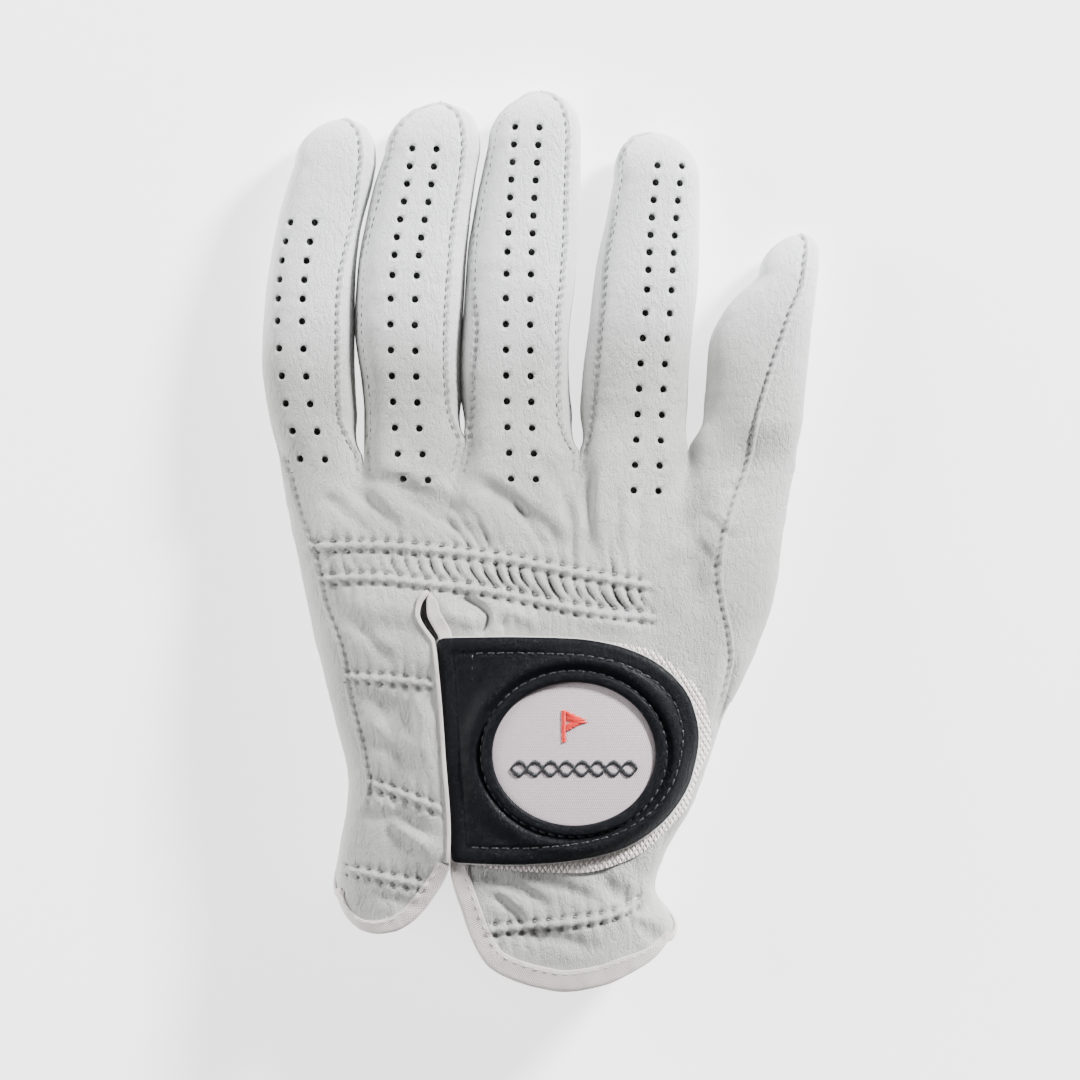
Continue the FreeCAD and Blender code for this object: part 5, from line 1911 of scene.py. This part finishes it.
# ------------------------------------------------------------------------------ the five digits
def make_digits(hand: HandForm) -> tuple[Digit, ...]:
    """The four fingers and the thumb with their outlines and joints.

    Args:
        hand: supplies the lines that divide the hand between them.

    Returns:
        The digits, from pinkie to thumb.
    """
    deep = Track(((38, 20.0), (50, 18.6), (62, 17.8), (85, 17.0), (105, 15.6), (118, 14.4)))
    slim = Track(((38, 18.6), (50, 17.2), (62, 16.4), (85, 15.4), (105, 14.2), (114, 13.4)))
    return (
        Digit(
            name="pinkie",
            left=Track((
                (38, -50.3), (50, -53.0), (65, -55.0), (78, -54.3), (96, -51.5), (105.8, -48.8),
                (113, -46.2))),
            right=Track((
                (38, -31.2), (40.3, -31.5), (51.8, -33.0), (65, -33.6), (78, -33.6), (92, -32.6),
                (105.8, -29.4), (113, -28.0))),
            left_seam=Track((
                (38, -49.4), (39, -49.6), (43, -50.9), (48, -52.4), (56, -54.0), (65, -55.0),
                (78, -54.3), (96, -51.5), (105.8, -48.8), (113, -46.2))),
            right_seam=Track((
                (40.3, -31.5), (46, -35.0), (51.8, -37.0), (62, -37.5), (72, -37.5), (82.6, -37.0),
                (89.7, -35.7), (98, -33.8), (108.3, -32.4), (113, -31.6))),
            tip=(-36.2, 120.1), cap=10.5, height=slim, left_crotch=None, right_crotch=40.3,
            knuckle=50.5, middle_joint=77.0, split=63.0, knuckle_zone=(41.5, 61.5),
            middle_zone=(66.0, 88.0), left_cover=Cover.PALM, right_cover=Cover.FOURCHETTE,
            hand_left=None, hand_right=hand.pinkie_ring,
            holes=Track(((40, -42.8), (48, -45.0), (58, -47.2), (75, -48.5), (88, -47.4), (97, -45.4))),
            hole_rows=11, hole_span=(41.6, 96.2), outer_seam_end=46.0),
        Digit(
            name="ring",
            left=Track((
                (40.3, -31.5), (52, -31.4), (59.6, -32.0), (72.5, -33.6), (85, -32.9), (103, -29.6),
                (113, -26.4))),
            right=Track((
                (38, -9.6), (44.9, -8.0), (54, -8.8), (64, -9.0), (78, -8.4), (92, -7.4), (105.8, -5.8),
                (113, -4.4))),
            left_seam=Track((
                (40.3, -31.5), (51.8, -31.0), (62, -31.6), (72.5, -32.4), (82.6, -32.0), (90.4, -31.0),
                (103, -28.0), (113, -24.8))),
            right_seam=Track((
                (44.9, -8.0), (49, -10.6), (54.3, -12.0), (64.6, -12.6), (75, -12.4), (85, -11.7),
                (95.5, -10.8), (105.8, -9.2), (113.4, -8.3))),
            tip=(-13.6, 123.7), cap=11.5, height=deep, left_crotch=40.3, right_crotch=44.9,
            knuckle=54.5, middle_joint=82.0, split=66.0, knuckle_zone=(45.5, 65.5),
            middle_zone=(71.0, 93.0), left_cover=Cover.FOURCHETTE, right_cover=Cover.FOURCHETTE,
            hand_left=hand.pinkie_ring, hand_right=hand.slit_right,
            holes=Track((
                (36, -19.2), (44, -20.9), (55, -21.9), (75, -22.5), (90, -21.4), (103, -19.0),
                (113, -17.5))),
            hole_rows=16, hole_span=(36.9, 113.2)),
        Digit(
            name="middle",
            left=Track((
                (44.9, -8.0), (52, -8.9), (62, -9.4), (77.5, -8.3), (90.4, -7.4), (100.5, -5.7),
                (116, -2.4))),
            right=Track((
                (38, 18.0), (41.9, 18.4), (50, 17.0), (58, 16.0), (66, 15.8), (85, 17.5), (95, 18.4),
                (116, 18.7))),
            left_seam=Track((
                (44.9, -8.0), (51.8, -6.6), (62, -6.2), (72.2, -5.5), (82.6, -6.2), (93, -5.7),
                (103, -4.4), (116, -1.4))),
            right_seam=Track((
                (41.9, 18.4), (46, 15.4), (51.8, 13.6), (62, 13.3), (72.2, 13.3), (82.6, 14.3),
                (93, 15.0), (108.3, 15.4), (116, 15.6))),
            tip=(9.8, 126.3), cap=11.8, height=deep, left_crotch=44.9, right_crotch=41.9, knuckle=54.5,
            middle_joint=83.0, split=66.0, knuckle_zone=(45.5, 65.5), middle_zone=(72.0, 94.0),
            left_cover=Cover.FOURCHETTE, right_cover=Cover.FOURCHETTE, hand_left=hand.slit_right,
            hand_right=hand.middle_index,
            holes=Track(((36, 5.5), (50, 4.5), (75, 4.1), (95, 4.7), (118, 6.2))),
            hole_rows=17, hole_span=(37.1, 118.2)),
        Digit(
            name="index",
            left=Track((
                (41.9, 18.4), (50, 18.3), (59.6, 18.9), (72.2, 20.5), (85, 22.0), (98, 24.6),
                (108.3, 26.6))),
            right=Track((
                (38, 43.0), (43, 43.3), (51.8, 43.2), (62, 43.5), (72.2, 44.6), (87.6, 46.0),
                (108.3, 46.2))),
            left_seam=Track((
                (41.9, 18.4), (46, 20.4), (51.8, 21.4), (62, 22.3), (69.7, 23.0), (77.5, 23.7),
                (87.6, 24.6), (95.5, 26.0), (103, 27.0), (108.3, 28.2))),
            right_seam=Track((
                (38, 42.0), (43, 42.2), (51.8, 41.2), (62, 41.3), (72.2, 42.3), (87.6, 43.6),
                (108.3, 43.8))),
            tip=(35.0, 117.0), cap=11.0, height=deep, left_crotch=41.9, right_crotch=43.0,
            knuckle=51.5, middle_joint=80.0, split=64.0, knuckle_zone=(43.5, 63.5),
            middle_zone=(69.0, 91.0), left_cover=Cover.FOURCHETTE, right_cover=Cover.BACK,
            hand_left=hand.middle_index, hand_right=hand.index_thumb,
            holes=Track(((34, 33.6), (50, 34.4), (65, 35.3), (76, 36.4), (95, 37.6), (110, 39.2))),
            hole_rows=16, hole_span=(34.4, 109.3)),
        Digit(
            name="thumb",
            left=Track((
                (38, 43.2), (43.3, 43.4), (50.6, 46.5), (57.5, 47.4), (67.9, 48.2), (74.8, 51.0),
                (80, 55.3), (83, 58.7), (86, 61.2), (88, 62.6), (91.5, 64.3))),
            right=Track(((38, 67.9), (40.3, 68.5), (54, 70.2), (67.9, 71.5), (80, 73.0), (86, 73.6))),
            left_seam=Track((
                (38, 44.0), (43.3, 44.4), (50.6, 48.6), (57.5, 49.6), (67.9, 51.0), (74.8, 54.0),
                (80, 57.6), (86, 62.6), (88, 64.0), (91.5, 65.6))),
            right_seam=Track((
                (38, 57.1), (39, 57.4), (42.6, 58.4), (50.8, 60.0), (62.6, 63.5), (69.2, 65.8),
                (75.4, 67.9), (80, 69.9), (86, 71.4))),
            tip=(69.6, 93.6), cap=9.5,
            height=Track(((38, 20.4), (50, 19.0), (62, 17.6), (78, 15.8), (90, 13.6))),
            left_crotch=43.3, right_crotch=None, knuckle=49.0, middle_joint=67.0, split=57.0,
            knuckle_zone=(43.5, 56.5), middle_zone=(58.0, 77.0), left_cover=Cover.BACK,
            right_cover=Cover.PALM, hand_left=hand.index_thumb, hand_right=None),
    )


# ------------------------------------------------------------------------------ studio
@dataclass
class Studio:
    """Pale floor, a low key light from the far right, a weaker fill from the left, a camera overhead."""
    view: float = 0.2484
    centre: tuple[float, float] = (0.0092, 0.0230)
    distance: float = 3.0

    def light(self, name: str, place: tuple[float, float, float], size: float, power: float) -> None:
        """An area light that faces the glove."""
        data = bpy.data.lights.new(name, "AREA")
        data.energy, data.size, data.shape = power, size, "DISK"
        obj = bpy.data.objects.new(name, data)
        bpy.context.scene.collection.objects.link(obj)
        obj.location = place
        x, y, z = (place[0] - self.centre[0], place[1] - self.centre[1], place[2])
        obj.rotation_euler = (math.atan2(math.hypot(x, y), z), 0.0, math.atan2(y, x) + math.pi / 2)

    def build(self) -> None:
        """Builds it all."""
        world = bpy.data.worlds.new("studio")
        bpy.context.scene.world = world
        world.use_nodes = True
        background = next(n for n in world.node_tree.nodes if n.type == "BACKGROUND")
        background.inputs[0].default_value = (1.0, 1.0, 1.0, 1.0)
        background.inputs[1].default_value = 0.24
        g = Graph("floor")
        g.set(Base_Color=(0.92, 0.92, 0.92), Roughness=0.9, Emission_Color=(1.0, 1.0, 1.0),
              Emission_Strength=1.75)
        mesh = bpy.data.meshes.new("floor")
        r, z = 3.0, -0.0012
        mesh.from_pydata([(-r, -r, z), (r, -r, z), (r, r, z), (-r, r, z)], [], [(0, 1, 2, 3)])
        mesh.materials.append(g.material)
        floor = bpy.data.objects.new("floor", mesh)
        bpy.context.scene.collection.objects.link(floor)
        floor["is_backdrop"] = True
        self.light("key", (1.35, 1.25, 0.80), 0.4, 168.0)
        self.light("fill", (-1.4, 0.3, 0.6), 1.0, 40.0)
        camera = bpy.data.cameras.new("camera")
        camera.sensor_width = 36.0
        camera.lens = 36.0 * self.distance / self.view
        camera.clip_end = 20.0
        obj = bpy.data.objects.new("camera", camera)
        obj.location = (self.centre[0], self.centre[1], self.distance + 0.02)
        bpy.context.scene.collection.objects.link(obj)
        bpy.context.scene.camera = obj


def main() -> None:
    """Builds the glove piece by piece."""
    logging.basicConfig(level=logging.INFO, format="%(name)s %(message)s")
    finishes = Finishes()
    hand, relief = HandForm(), HandRelief()
    sewers = [DigitSewing(digit, hand, relief, finishes) for digit in make_digits(hand)]
    holes = np.concatenate([sewer.hole_centres() for sewer in sewers])
    HandSewing(hand, relief, finishes, holes[holes[:, 1] < SPLIT_Y]).sew()
    for sewer in sewers:
        sewer.sew()
    Closure(hand, finishes).build()
    Studio().build()

    def plain(value: object) -> object:
        return float(value) if isinstance(value, (int, float)) else [plain(v) for v in value]

    {"cad": plain(CAD_BOX), "visual": plain(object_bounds())}


if __name__ == "__main__":
    main()
